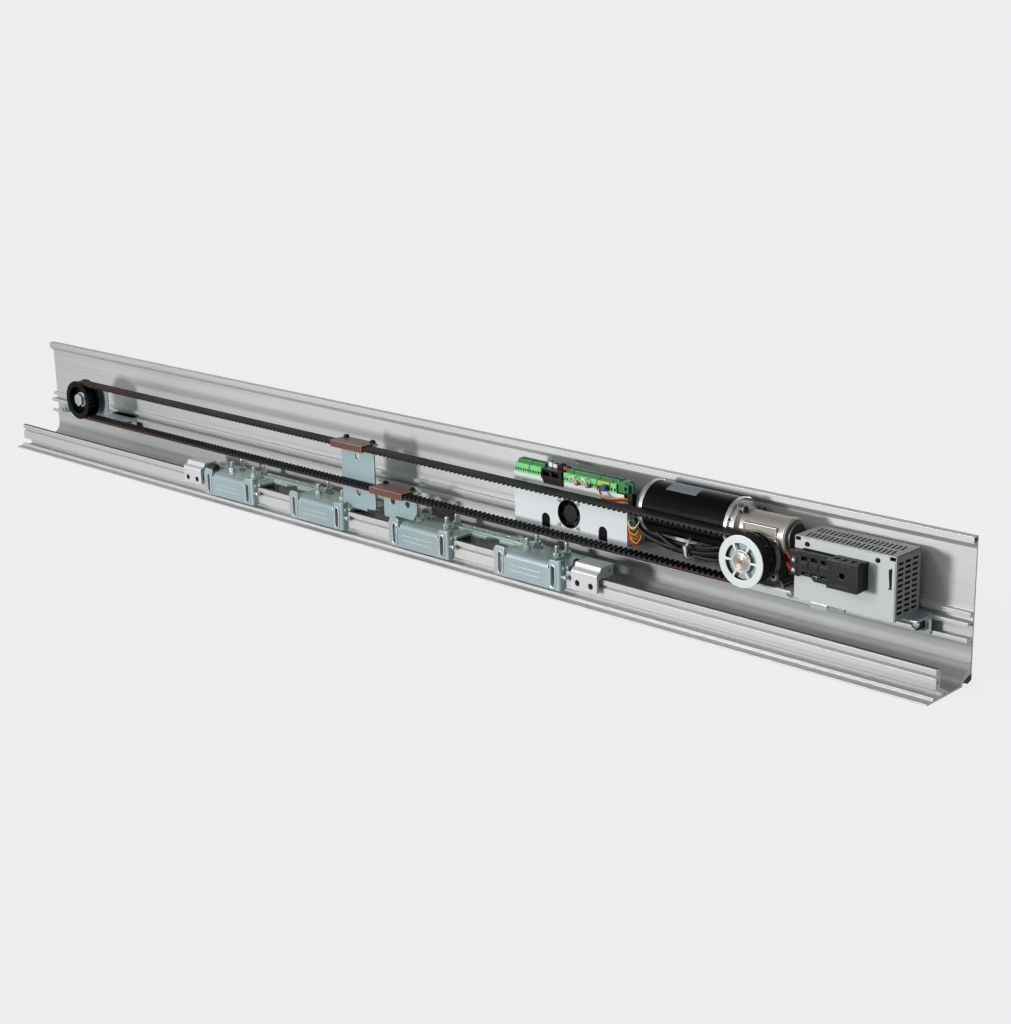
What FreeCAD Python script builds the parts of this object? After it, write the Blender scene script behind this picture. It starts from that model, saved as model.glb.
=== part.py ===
"""Belt-driven operator for a two-leaf sliding door, on an extruded carrier profile.

Every piece is drawn in profile coordinates, in millimetres: X runs along the profile from its
middle, Y = 0 is the front of the back wall and points to the building, Z = 0 is the underside of
the floor. Each piece is then placed so that the part's origin lies in the back face of the wall.
"""
import FreeCAD, Part
import math
import os
import re
import Sketcher
from FreeCAD import Placement, Rotation, Vector

doc = FreeCAD.newDocument("sliding_door_operator")

# Driving dimensions
SIZES = {
    # carrier profile
    "profile_length": 1777,
    "profile_height": 169,
    "wall_thickness": 2.5,
    "floor_thickness": 2,
    "floor_reach": 88.2,
    "bead_height": 3.5,
    "lip_depth": 7,
    "lip_height": 7.5,
    "lip_slope": 7,
    "lip_skin": 1.4,
    "rib_gap": 5.1,
    "rib_height": 5.5,
    "rib_depth": 7,
    "slot_centre": 60.9,
    "slot_cavity": 18.6,
    "slot_mouth": 13.4,
    "slot_depth": 11.5,
    "slot_web": 2.2,
    "slot_lip": 2.4,
    "sill_height": 17,
    "trough_rear": 20,
    "trough_width": 22,
    "web_rise": 8,
    "web_thickness": 3.5,
    "rail_front": 72.4,
    "rail_width": 9.6,
    "rail_base": 13.2,
    "rail_top": 36.5,
    "rail_bevel": 4.6,
    "groove_level": 28.2,
    "groove_height": 4.6,
    "groove_depth": 5,
    "screw_port": 3,
    "strip_thickness": 0.8,
    # belt drive
    "belt_pitch": 8,
    "belt_teeth": 354,
    "pulley_teeth": 22,
    "belt_width": 15,
    "belt_front": 87.6,
    "belt_thickness": 6,
    "tooth_height": 3.38,
    "pitch_offset": 0.686,
    "tooth_root": 5.4,
    "tooth_tip": 2.8,
    "tooth_clearance": 0.2,
    "idler_x": -686,
    "flange_radius": 31,
    "flange_thickness": 1.7,
    "idler_flange": 3,
    "axle_radius": 6,
    "hub_radius": 11.5,
    "window_inner": 13.6,
    "window_outer": 22,
    # idler bracket
    "bracket_sheet": 3,
    "bracket_front": 59,
    "bracket_width": 59,
    "bracket_foot": 9,
    # module shelf, motor and gearbox
    "shelf_rise": 5.6,
    "shelf_sheet": 3,
    "shelf_reach": 60,
    "shelf_start": 250,
    "shelf_length": 440,
    "belt_rise": 33,
    "motor_radius": 32,
    "motor_length": 122,
    "motor_cap": 18,
    "motor_flange": 8,
    "motor_depth": 38,
    "worm_drop": 25,
    "worm_radius": 21.5,
    "worm_length": 70,
    "gear_radius": 32.5,
    "gear_depth": 40,
    "boss_radius": 6.5,
    "boss_hole": 5,
    "gland_length": 3.2,
    # control unit
    "control_start": 250,
    "control_width": 190,
    "control_height": 66,
    "control_front": 50,
    "control_depth": 34,
    "panel_sheet": 1.5,
    "arch_width": 14,
    "arch_height": 19,
    "arch_spread": 96,
    "fan_size": 40,
    "fan_depth": 10,
    "fan_bore": 38,
    "fan_offset": 94,
    "fan_level": 24.7,
    "board_thickness": 1.6,
    "board_top": 79,
    # power supply
    "supply_gap": 7,
    "supply_width": 130,
    "supply_height": 73,
    "supply_depth": 50,
    "supply_sheet": 1.2,
    "mains_inset": 3,
    "mains_rise": 29,
    "mains_height": 33,
    "mains_width": 47,
    "mains_shallow": 12.5,
    "mains_deep": 22.5,
    "bracket_sheet": 2.5,
    "bracket_reach": 32,
    "link_overhang": 10,
    "vent_length": 11,
    "vent_width": 3,
    "vent_pitch": 5.6,
    # carriages
    "left_edge": -49,
    "right_edge": 44.5,
    "hanger_pitch": 200,
    "hanger_length": 118,
    "hanger_sheet": 3,
    "hanger_gap": 6.6,
    "hanger_foot": 10.5,
    "hanger_height": 34.5,
    "hanger_ear": 4.5,
    "ear_width": 13,
    "ear_inset": 3,
    "slot_inset": 9.5,
    "hang_slot_width": 6.5,
    "hang_slot_height": 28,
    "rim_width": 2.3,
    "rim_height": 1.4,
    "side_flange": 8,
    "carriage_gap": 0.7,
    "base_sheet": 4,
    "base_rear": 24,
    "base_tip": 35,
    "tip_depth": 22,
    "stud_radius": 3,
    "stud_height": 17,
    "nut_height": 5,
    "link_width": 16,
    "roller_radius": 16,
    "roller_width": 14,
    "roller_inset": 15,
    "roller_gap": 0.3,
    "pin_radius": 4,
    # belt plates and clamps
    "belt_plate_sheet": 3,
    "belt_plate_gap": 2.6,
    "tall_plate_width": 67,
    "tall_plate_end": 2,
    "short_plate_start": 20,
    "short_plate_width": 65,
    "clamp_skin": 1.6,
    "clamp_gap": 0.25,
    "clamp_length": 64,
    "clamp_rear": 60,
    # end stops
    "stop_length": 42,
    "stop_gap": 13,
    "stop_height": 15,
    "stop_rear": 50.5,
    "stop_leg": 4.5,
    "stop_screw": 3,
    "stop_screw_pitch": 22,
    "buffer_radius": 6,
    # fasteners in the slot
    "bolt_radius": 4,
    "nut_across": 13,
    "slot_nut_height": 6.5,
    "washer_radius": 8,
    "washer_thickness": 1.6,
}

# Places worked out from the driving dimensions
PLACES = {
    "origin_height": "(profile_height + sill_height - 6) / 2",
    "slot_bottom": "slot_centre - slot_cavity / 2 - slot_web",
    "slot_top": "slot_centre + slot_cavity / 2 + slot_web",
    "rib_foot": "slot_top + rib_gap",
    "trough_front": "trough_rear + trough_width",
    "web_rear": "rail_front - rail_width - 6.5",
    "rail_rear": "rail_front - rail_width",
    "web_head": "floor_thickness + web_rise",
    "pitch_radius": "pulley_teeth * belt_pitch / (2 * pi)",
    "belt_outer": "pitch_radius - pitch_offset - tooth_height + belt_thickness",
    "belt_inner": "pitch_radius - pitch_offset - tooth_height",
    "belt_rear": "belt_front - belt_width",
    "drive_x": "idler_x + (belt_teeth - pulley_teeth) * belt_pitch / 2",
    "shelf_top": "slot_top + shelf_rise",
    "shelf_end": "shelf_start + shelf_length",
    "pulley_z": "shelf_top + belt_rise",
    "motor_z": "pulley_z + worm_drop",
    "motor_end": "drive_x - gear_radius",
    "gear_front": "belt_rear - 12",
    "gear_rear": "gear_front - gear_depth",
    "control_end": "control_start + control_width",
    "fan_x": "control_start + fan_offset",
    "fan_z": "shelf_top + fan_level",
    "board_front": "control_front - fan_depth - panel_sheet - 4",
    "supply_start": "shelf_end + supply_gap",
    "supply_rear": "slot_depth + 0.5",
    "supply_front": "supply_rear + supply_depth",
    "supply_foot": "slot_top + 0.6",
    "supply_end": "supply_start + supply_width",
    "supply_top": "supply_foot + supply_height",
    "rail_crown": "rail_top + strip_thickness",
    "base_foot": "rail_crown + carriage_gap",
    "base_top": "base_foot + base_sheet",
    "flange_top": "base_top + hanger_sheet",
    "hanger_back": "rail_front + hanger_gap",
    "hanger_front": "hanger_back + hanger_sheet",
    "roller_z": "floor_thickness + roller_radius + roller_gap",
    "roller_y": "(trough_rear + trough_front) / 2",
    "hanger_one": "left_edge - hanger_length - hanger_pitch",
    "hanger_two": "left_edge - hanger_length",
    "hanger_three": "right_edge",
    "hanger_four": "right_edge + hanger_pitch",
    "left_stop_x": "hanger_one - stop_gap - stop_length",
    "right_stop_x": "hanger_four + hanger_length + stop_gap",
    "belt_plate_front": "belt_rear - belt_plate_gap",
    "belt_plate_rear": "belt_plate_front - belt_plate_sheet",
}

# Fasteners and connectors along the pieces that they sit on
IDLER_BOLTS = (-10, 30)
SHELF_BOLTS = (0.06, 0.35, 0.66, 0.94)
SUPPLY_BOLTS = ("supply_start + 19", "supply_end + 5")
STUD_SPOTS = ("hanger_length * 0.26", "hanger_length * 0.7")
FRONT_STUDS = "-rail_rear + 8"
REAR_STUDS = "-base_rear - 12"
CLAMP_BOLTS = ("6", "clamp_length - 4")

# Shares of the control unit's width: start and end of each terminal block, relay and socket mouth
TERMINALS = ((0.021, 0.153), (0.158, 0.268), (0.463, 0.526), (0.532, 0.753), (0.758, 0.863), (0.868, 0.921))
RELAYS = ((0.105, 0.205), (0.684, 0.784), (0.816, 0.916))
SOCKET = (0.274, 0.453)
SOCKET_MOUTHS = ((0.287, 0.355), (0.368, 0.437))


def make_sheet():
    """Write each driving dimension and its alias into the document's sheet."""
    sheet = doc.addObject("Spreadsheet::Sheet", "Sizes")
    for row, (alias, value) in enumerate(SIZES.items(), 1):
        sheet.set("A%d" % row, alias.replace("_", " "))
        sheet.set("B%d" % row, str(value))
        sheet.setAlias("B%d" % row, alias)
    doc.recompute()
    return sheet


def bound(text):
    """Name the owner of each word in an expression, so that the document can solve it."""
    def owner(match):
        word = match.group(0)
        if word in SIZES:
            return "Sizes." + word
        if word in PLACES:
            return "Places." + word
        return word
    return re.sub(r"[a-z][a-z_]*", owner, str(text))


def make_places():
    """Add the worked-out places as bound values."""
    places = doc.addObject("App::VarSet", "Places")
    for name, text in PLACES.items():
        places.addProperty("App::PropertyFloat", name)
        places.setExpression(name, bound(text))
    doc.recompute()
    return places


sheet = make_sheet()
places = make_places()
reader = doc.addObject("App::VarSet", "Reader")
reader.addProperty("App::PropertyFloat", "answer")
nodes = {}


def number(text):
    """Give the present value of an expression."""
    reader.setExpression("answer", bound(text))
    reader.recompute()
    return reader.answer


def bind(thing, field, text):
    """Tie one field of an object to an expression."""
    thing.setExpression(field, bound(text))


def put(thing, spot, turn=None):
    """Turn an object, then tie its position to three expressions."""
    if turn is not None:
        thing.Placement = Placement(Vector(), turn)
    for field, text in zip(("x", "y", "z"), spot):
        bind(thing, "Placement.Base." + field, text)
    return thing


def node(thing, label, spot=("0", "0", "0")):
    """Make an object a sub-part: name it and shift it from profile to part coordinates."""
    thing.Label = label
    put(thing, (spot[0], "%s - wall_thickness" % spot[1], "%s - origin_height" % spot[2]))
    nodes[label] = thing
    return thing


# Basic solids, with spans and spots given as expressions
TURNS = {
    "x": Rotation(Vector(0, 1, 0), 90),
    "y": Rotation(Vector(1, 0, 0), -90),
    "z": Rotation(),
}


def block(x, y, z):
    """A box between pairs of expressions."""
    solid = doc.addObject("Part::Box", "Block")
    for field, (start, end) in zip(("Length", "Width", "Height"), (x, y, z)):
        bind(solid, field, "(%s) - (%s)" % (end, start))
    return put(solid, (x[0], y[0], z[0]))


def rod(axis, spot, radius, length):
    """A round bar along an axis, from its first end."""
    solid = doc.addObject("Part::Cylinder", "Rod")
    bind(solid, "Radius", radius)
    bind(solid, "Height", length)
    return put(solid, spot, TURNS[axis])


def hexagon(axis, spot, across, length):
    """A hexagonal bar of a width across its flats."""
    solid = doc.addObject("Part::Prism", "Hexagon")
    solid.Polygon = 6
    bind(solid, "Circumradius", "(%s) / sqrt(3)" % across)
    bind(solid, "Height", length)
    return put(solid, spot, TURNS[axis])


def fuse(*pieces):
    """Join pieces into one solid."""
    joined = doc.addObject("Part::MultiFuse", "Joined")
    joined.Shapes = list(pieces)
    joined.Refine = True
    return joined


def cut(base, *tools):
    """Take the tools out of a base."""
    made = doc.addObject("Part::Cut", "Made")
    made.Base = base
    made.Tool = tools[0] if len(tools) == 1 else fuse(*tools)
    made.Refine = True
    return made


def common(base, tool):
    """Keep what two pieces share."""
    kept = doc.addObject("Part::Common", "Kept")
    kept.Base = base
    kept.Tool = tool
    return kept


def group(*pieces):
    """Hold separate solids together as one sub-part."""
    held = doc.addObject("Part::Compound", "Group")
    held.Links = list(pieces)
    return held


def upright_slot(x, z, y, width, height):
    """A round-ended cutter with its length along Z, through the span y."""
    radius = "(%s) / 2" % width
    depth = "(%s) - (%s)" % (y[1], y[0])
    low = "(%s) - (%s) / 2 + %s" % (z, height, radius)
    high = "(%s) + (%s) / 2 - %s" % (z, height, radius)
    middle = block(("%s - %s" % (x, radius), "%s + %s" % (x, radius)), y, (low, high))
    return fuse(middle, rod("y", (x, y[0], low), radius, depth), rod("y", (x, y[0], high), radius, depth))


# Sketched bodies
SIDES = {"YZ": 1, "XZ": -1, "XY": 1}


def origin_part(body, role):
    """Find one of a body's own planes or axes."""
    return [part for part in body.Origin.OriginFeatures if part.Role == role][0]


def outline(body, plane, points, level="0"):
    """Sketch a closed outline whose corners are bound to expressions."""
    sketch = body.newObject("Sketcher::SketchObject", "Outline")
    sketch.AttachmentSupport = (origin_part(body, plane + "_Plane"), [""])
    sketch.MapMode = "FlatFace"
    bind(sketch, "AttachmentOffset.Base.z", "%d * (%s)" % (SIDES[plane], level))
    corners = [(number(across), number(up)) for across, up in points]
    count = len(corners)
    for index, here in enumerate(corners):
        there = corners[(index + 1) % count]
        sketch.addGeometry(Part.LineSegment(Vector(*here, 0), Vector(*there, 0)))
    for index in range(count):
        sketch.addConstraint(Sketcher.Constraint("Coincident", index, 2, (index + 1) % count, 1))
    for index, point in enumerate(points):
        for kind, text, value in zip(("DistanceX", "DistanceY"), point, corners[index]):
            place = sketch.addConstraint(Sketcher.Constraint(kind, -1, 1, index, 1, value))
            sketch.setExpression("Constraints[%d]" % place, bound(text))
    return sketch


def new_body():
    """Start an empty body."""
    return doc.addObject("PartDesign::Body", "Body")


def pad(body, plane, points, start, end):
    """Add a padded outline between two levels along the plane's normal."""
    level = start if SIDES[plane] > 0 else end
    feature = body.newObject("PartDesign::Pad", "Pad")
    feature.Profile = outline(body, plane, points, level)
    bind(feature, "Length", "(%s) - (%s)" % (end, start))
    return feature


def prism(plane, points, start, end):
    """A body that is one padded outline."""
    body = new_body()
    pad(body, plane, points, start, end)
    return body


def turned(axis, points):
    """A body of revolution: points are (along the axis, radius), or (radius, height) about Z."""
    body = new_body()
    sketch = outline(body, "YZ" if axis == "y" else "XZ", points)
    feature = body.newObject("PartDesign::Revolution", "Turned")
    feature.Profile = sketch
    feature.ReferenceAxis = (sketch, ["V_Axis" if axis == "z" else "H_Axis"])
    feature.Angle = 360
    return body


def round_pattern(body, feature, count):
    """Repeat a feature of a body around its Y axis."""
    pattern = body.newObject("PartDesign::PolarPattern", "Pattern")
    pattern.Originals = [feature]
    pattern.Axis = (origin_part(body, "Y_Axis"), [""])
    pattern.Angle = 360
    bind(pattern, "Occurrences", count)
    body.Tip = pattern


# Carrier profile: back wall with hollow top lip, rib and bolt slot, floor with rail and trough
def carrier_profile():
    """One extrusion, cut along flat planes into zones that are each nearly convex."""
    half = "profile_length / 2"
    cavity_foot = "slot_bottom + slot_web"
    cavity_head = "slot_top - slot_web"
    mouth_foot = "slot_centre - slot_mouth / 2"
    mouth_head = "slot_centre + slot_mouth / 2"
    lip_foot = "profile_height - lip_height"
    points = [
        ("wall_thickness", "profile_height"),
        ("-lip_depth", "profile_height"),
        ("-lip_depth", lip_foot),
        ("0", lip_foot + " - lip_slope"),
        ("0", "rib_foot + rib_height"),
        ("-rib_depth", "rib_foot + rib_height"),
        ("-rib_depth", "rib_foot"),
        ("0", "rib_foot"),
        ("0", "slot_top"),
        ("-slot_depth", "slot_top"),
        ("-slot_depth", mouth_head),
        ("-slot_depth + slot_lip", mouth_head),
        ("-slot_depth + slot_lip", cavity_head),
        ("0", cavity_head),
        ("0", cavity_foot),
        ("-slot_depth + slot_lip", cavity_foot),
        ("-slot_depth + slot_lip", mouth_foot),
        ("-slot_depth", mouth_foot),
        ("-slot_depth", "slot_bottom"),
        ("-wall_thickness * 1.4", "slot_bottom"),
        ("-wall_thickness * 0.4", "(slot_bottom + sill_height) / 2"),
        ("-wall_thickness", "sill_height"),
        ("-trough_rear * 0.4", "sill_height - 4"),
        ("-trough_rear * 0.88", "sill_height * 0.42"),
        ("-trough_rear", "floor_thickness"),
        ("-trough_front", "floor_thickness"),
        ("-web_rear", "web_head"),
        ("-rail_rear - 0.6", "web_head + 4"),
        ("-rail_rear", "rail_top - rail_bevel"),
        ("-rail_front + rail_width * 0.55", "rail_top"),
        ("-rail_front", "rail_top"),
        ("-rail_front", "groove_level + groove_height / 2"),
        ("-rail_front + groove_depth", "groove_level"),
        ("-rail_front", "groove_level - groove_height / 2"),
        ("-rail_front", "rail_base"),
        ("-rail_rear", "web_head"),
        ("-web_rear - web_thickness", "web_head - 3"),
        ("-web_rear - web_thickness", "floor_thickness"),
        ("-rail_front - 1", "floor_thickness"),
        ("-rail_front - 1", "floor_thickness + bead_height"),
        ("-rail_front - 4", "floor_thickness + bead_height"),
        ("-rail_front - 4", "floor_thickness"),
        ("-floor_reach", "floor_thickness * 0.8"),
        ("-floor_reach", "0"),
        ("-trough_rear * 0.85", "0"),
        ("-trough_rear * 0.76", "sill_height * 0.26"),
        ("-trough_rear * 0.45", "sill_height * 0.46"),
        ("wall_thickness", "sill_height - 6"),
    ]
    shell = prism("YZ", points, "-" + half, half)
    lip_hollow = block(
        ("-%s" % half, half),
        ("-lip_depth + lip_skin", "wall_thickness - lip_skin"),
        (lip_foot + " + lip_skin * 0.5", "profile_height - lip_skin"))
    ramp = "(web_head - floor_thickness) * 0.7"
    floor_hollow = prism("YZ", [
        ("-web_rear + 0.5", "floor_thickness"),
        ("-web_rear + 0.5", "floor_thickness + " + ramp),
        ("-web_rear + (web_rear - trough_front) * 0.66", "floor_thickness"),
    ], "-" + half, half)
    port = rod("x", ("-" + half, "-rail_front + rail_width / 2", "(rail_base + groove_level) / 2"),
               "screw_port / 2", "profile_length")
    whole = cut(shell, lip_hollow, floor_hollow, port)
    lip_root = lip_foot + " - lip_slope"
    rear = "wall_thickness"
    zones = [
        ("-lip_depth", rear, lip_root, "profile_height"),
        ("0", rear, "slot_bottom", lip_root),
        ("-trough_rear", rear, "sill_height", "slot_bottom"),
        ("-trough_rear", rear, "0", "sill_height"),
        ("-rib_depth", "0", "rib_foot", "rib_foot + rib_height"),
        ("-slot_depth", "0", "slot_centre", "slot_top"),
        ("-slot_depth", "0", "slot_bottom", "slot_centre"),
        ("-floor_reach", "-trough_rear", "0", "floor_thickness"),
        ("-web_rear", "-trough_front", "floor_thickness", "rail_base"),
        ("-rail_front", "-web_rear", "floor_thickness", "rail_base"),
        ("-rail_front", "-web_rear", "rail_base", "rail_top"),
        ("-floor_reach", "-rail_front", "floor_thickness", "floor_thickness + bead_height"),
    ]
    solids = [common(whole, block(("-" + half, half), (front, back), (low, high)))
              for front, back, low, high in zones]
    node(group(*solids), "carrier_profile")


def base_seal():
    """Weather seal pressed along the lower rear corner of the profile."""
    points = [
        ("-trough_rear * 0.76", "sill_height * 0.26"),
        ("-trough_rear * 0.45", "sill_height * 0.46"),
        ("wall_thickness", "sill_height - 6"),
        ("wall_thickness", "sill_height * 0.2"),
        ("-trough_rear * 0.25", "sill_height * 0.04"),
    ]
    node(prism("YZ", points, "-profile_length / 2", "profile_length / 2"), "base_seal")


def rail_strip():
    """Quiet running strip along the crown of the rail."""
    strip = prism("YZ", [
        ("-rail_front + 1", "rail_top"),
        ("-rail_front + rail_width * 0.5", "rail_top"),
        ("-rail_front + rail_width * 0.5 - 0.4", "rail_crown"),
        ("-rail_front + 1.4", "rail_crown"),
    ], "-profile_length / 2", "profile_length / 2")
    node(strip, "rail_strip")


# Belt drive
def drive_belt():
    """Toothed belt around both pulleys, one tooth at a time along its pitch line."""
    radius = number("pitch_radius")
    left = number("idler_x")
    right = number("drive_x")
    height = number("pulley_z")
    pitch = number("belt_pitch")
    land = number("pitch_offset")
    tip = land + number("tooth_height")
    strand = right - left
    front = -number("belt_front")
    bend = math.pi * radius
    profile = (
        (-number("tooth_root") / 2, land),
        (-number("tooth_tip") / 2, tip),
        (number("tooth_tip") / 2, tip),
        (number("tooth_root") / 2, land))

    def on_path(travel, depth):
        """The point at a travel along the pitch line, a depth inside it."""
        travel %= 2 * (strand + bend)
        reach = radius - depth
        if travel < strand:
            return Vector(left + travel, front, height + reach)
        if travel < strand + bend:
            angle = math.pi / 2 - (travel - strand) / radius
            return Vector(right + reach * math.cos(angle), front, height + reach * math.sin(angle))
        if travel < 2 * strand + bend:
            return Vector(right - (travel - strand - bend), front, height - reach)
        angle = -math.pi / 2 - (travel - 2 * strand - bend) / radius
        return Vector(left + reach * math.cos(angle), front, height + reach * math.sin(angle))

    corners = []
    for tooth in range(int(number("belt_teeth"))):
        corners += [on_path(tooth * pitch + along, depth) for along, depth in profile]
    inner = Part.makePolygon(corners + corners[:1])
    outer = number("belt_outer")
    top_left = Vector(left, front, height + outer)
    top_right = Vector(right, front, height + outer)
    low_right = Vector(right, front, height - outer)
    low_left = Vector(left, front, height - outer)
    loop = Part.Wire([
        Part.makeLine(top_left, top_right),
        Part.Arc(top_right, Vector(right + outer, front, height), low_right).toShape(),
        Part.makeLine(low_right, low_left),
        Part.Arc(low_left, Vector(left - outer, front, height), top_left).toShape()])
    face = Part.makeFace([loop, inner], "Part::FaceMakerBullseye")
    belt = doc.addObject("Part::Feature", "Belt")
    belt.Shape = face.extrude(Vector(0, number("belt_width"), 0))
    node(belt, "drive_belt")


def pulley_blank(front, rear, front_flange, rear_flange, recess, bore):
    """Turned pulley with flanges, a front recess and a bore, about its own Y axis."""
    rim = "pitch_radius - pitch_offset - tooth_clearance"
    points = [(front, "flange_radius" if front_flange else rim)]
    if front_flange:
        points += [("%s + %s" % (front, front_flange), "flange_radius")]
        points += [("%s + %s" % (front, front_flange), rim)]
    points += [("%s - %s" % (rear, rear_flange), rim)]
    points += [("%s - %s" % (rear, rear_flange), "flange_radius"), (rear, "flange_radius")]
    points += [(rear, bore), ("%s + %s" % (front, recess), bore)]
    points += [("%s + %s" % (front, recess), "window_outer - 1"), (front, "window_outer")]
    return turned("y", points)


def cut_teeth(body, front, rear):
    """Cut the tooth gaps of a pulley, the first one at its top."""
    floor = "belt_inner - tooth_clearance"
    mouth = "pitch_radius - pitch_offset + 1"
    points = [
        ("-tooth_tip / 2 - tooth_clearance", floor),
        ("tooth_tip / 2 + tooth_clearance", floor),
        ("tooth_root / 2 + 3 * tooth_clearance", mouth),
        ("-tooth_root / 2 - 3 * tooth_clearance", mouth),
    ]
    gap = body.newObject("PartDesign::Pocket", "ToothGap")
    gap.Profile = outline(body, "XZ", points, front)
    gap.Reversed = False
    bind(gap, "Length", "(%s) - (%s)" % (rear, front))
    round_pattern(body, gap, "pulley_teeth")


def drive_pulley():
    front = "-belt_front - 0.7"
    rear = "-belt_rear + flange_thickness + 0.5"
    body = pulley_blank(front, rear, None, "flange_thickness", "belt_width - 3", "axle_radius")
    cut_teeth(body, front, rear + " - flange_thickness")
    node(body, "drive_pulley", ("drive_x", "0", "pulley_z"))
    face_rear = front
    face_front = "-belt_front - 0.7 - flange_thickness"
    disc = rod("y", ("0", face_front, "0"), "flange_radius", "flange_thickness")
    windows = []
    for step in range(6):
        sector = rod("y", ("0", face_front + " - 1", "0"), "window_outer", "flange_thickness + 2")
        sector.Angle = 51
        turn = Rotation(Vector(0, 1, 0), 60 * step + 4.5)
        sector.Placement = Placement(Vector(), turn.multiply(TURNS["y"]))
        core = rod("y", ("0", face_front + " - 2", "0"), "window_inner", "flange_thickness + 4")
        windows.append(cut(sector, core))
    bore = rod("y", ("0", face_front + " - 1", "0"), "hub_radius", "flange_thickness + 2")
    node(cut(disc, bore, *windows), "pulley_face", ("drive_x", "0", "pulley_z"))
    hub = turned("y", [
        (face_front + " - 0.8", "0"),
        (face_front + " - 0.8", "hub_radius - 1"),
        (face_front, "hub_radius - 0.05"),
        (face_rear + " + belt_width - 3", "hub_radius - 0.05"),
        (face_rear + " + belt_width - 3", "axle_radius - 0.05"),
        ("-gear_front", "axle_radius - 0.05"),
        ("-gear_front", "0"),
    ])
    node(hub, "drive_hub", ("drive_x", "0", "pulley_z"))


def idler_pulley():
    front = "-belt_front - idler_flange - 0.4"
    rear = "-belt_rear + idler_flange + 0.4"
    body = pulley_blank(front, rear, "idler_flange", "idler_flange", "9", "axle_radius")
    cut_teeth(body, "-belt_front - 0.4", "-belt_rear + 0.4")
    node(body, "idler_pulley", ("idler_x", "0", "pulley_z"))
    seat = front + " + 9"
    bolt = fuse(
        rod("y", ("0", "-bracket_front", "0"), "axle_radius - 0.05", "bracket_sheet + 8"),
        rod("y", ("0", seat + " - 1.5", "0"), "axle_radius - 0.05", "-bracket_front - (%s) + 1.5" % seat),
        rod("y", ("0", seat + " - 2", "0"), "axle_radius * 2", "1.7"),
        hexagon("y", ("0", seat + " - 8", "0"), "axle_radius * 3", "6"),
        rod("y", ("0", "-belt_rear + idler_flange + 0.7", "0"), "axle_radius * 1.6",
            "-bracket_front - (-belt_rear + idler_flange + 0.7)"),
        hexagon("y", ("0", "-bracket_front + bracket_sheet", "0"), "axle_radius * 3", "6"))
    node(bolt, "idler_axle", ("idler_x", "0", "pulley_z"))


def idler_bracket():
    """Bent plate that carries the idler: slot flange, shelf and upright, with a gusset at its end."""
    low = "slot_top - bracket_sheet"
    flange_front = "-slot_depth - bracket_sheet"
    upright_rear = "-bracket_front + bracket_sheet"
    start = "idler_x - bracket_width * 0.38"
    end = "idler_x + bracket_width * 0.62"
    tip = end + " + bracket_foot"
    flange = block((start, end), (flange_front, "-slot_depth"), ("slot_bottom", "slot_top"))
    shelf = block((start, end), (upright_rear, flange_front), (low, "slot_top"))
    upright = block((start, end), ("-bracket_front", upright_rear), (low, "pulley_z + hub_radius + 7.5"))
    gusset = prism("XY", [
        (end, upright_rear + " + bracket_sheet * 2"),
        (end, "-slot_depth"),
        (tip, "-slot_depth"),
        (tip, flange_front + " - bracket_sheet"),
    ], low, "slot_top")
    foot = block((end, tip), (flange_front, "-slot_depth"), ("slot_bottom", "slot_top"))
    bolt_hole = rod("y", ("idler_x", "-bracket_front - 1", "pulley_z"), "axle_radius", "bracket_sheet + 2")
    slots = [upright_slot("idler_x %+g" % shift, "slot_centre", (flange_front + " - 1", "-slot_depth + 1"),
                          "bolt_radius * 2 + 0.6", "bolt_radius * 2 + 1.2") for shift in IDLER_BOLTS]
    bent = group(flange, shelf, upright, fuse(gusset, foot))
    node(cut(bent, bolt_hole, *slots), "idler_bracket")


# Shelf, motor and gearbox
def module_shelf():
    """Bent strip in the bolt slot that carries the control unit and the gearbox."""
    span = ("shelf_start", "shelf_end")
    flange = block(span, ("-slot_depth - 2.5", "-slot_depth"), ("slot_bottom", "shelf_top"))
    ledge = block(span, ("-shelf_reach", "-slot_depth - 2.5"), ("shelf_top - shelf_sheet", "shelf_top"))
    holes = [rod("y", ("shelf_start + shelf_length * %g" % share, "-slot_depth - 4", "slot_centre"),
                 "bolt_radius + 0.3", "5") for share in SHELF_BOLTS]
    node(cut(group(flange, ledge), *holes), "module_shelf")


def motor():
    """Motor can with its rear cap and front ring, in line with the worm."""
    spot = ("0", "-motor_depth", "motor_z")
    can_end = "motor_end - motor_flange"
    can_start = can_end + " - motor_length"
    can = turned("x", [
        (can_start, "0"),
        (can_start, "motor_radius - 1.5"),
        (can_start + " + 1.5", "motor_radius"),
        (can_end, "motor_radius"),
        (can_end, "0"),
    ])
    node(can, "motor_can", spot)
    cap = turned("x", [
        (can_start + " - motor_cap", "0"),
        (can_start + " - motor_cap", "motor_radius * 0.5"),
        (can_start + " - motor_cap + 5", "motor_radius - 6"),
        (can_start + " - 5", "motor_radius - 1"),
        (can_start + " - 5", "motor_radius + 0.6"),
        (can_start, "motor_radius + 0.6"),
        (can_start, "0"),
    ])
    ring = turned("x", [
        (can_end, "0"),
        (can_end, "motor_radius + 1"),
        (can_end + " + 5", "motor_radius + 1"),
        (can_end + " + 5", "motor_radius - 3"),
        ("motor_end", "motor_radius - 3"),
        ("motor_end", "0"),
    ])
    node(group(cap, ring), "motor_end_bells", spot)


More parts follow.
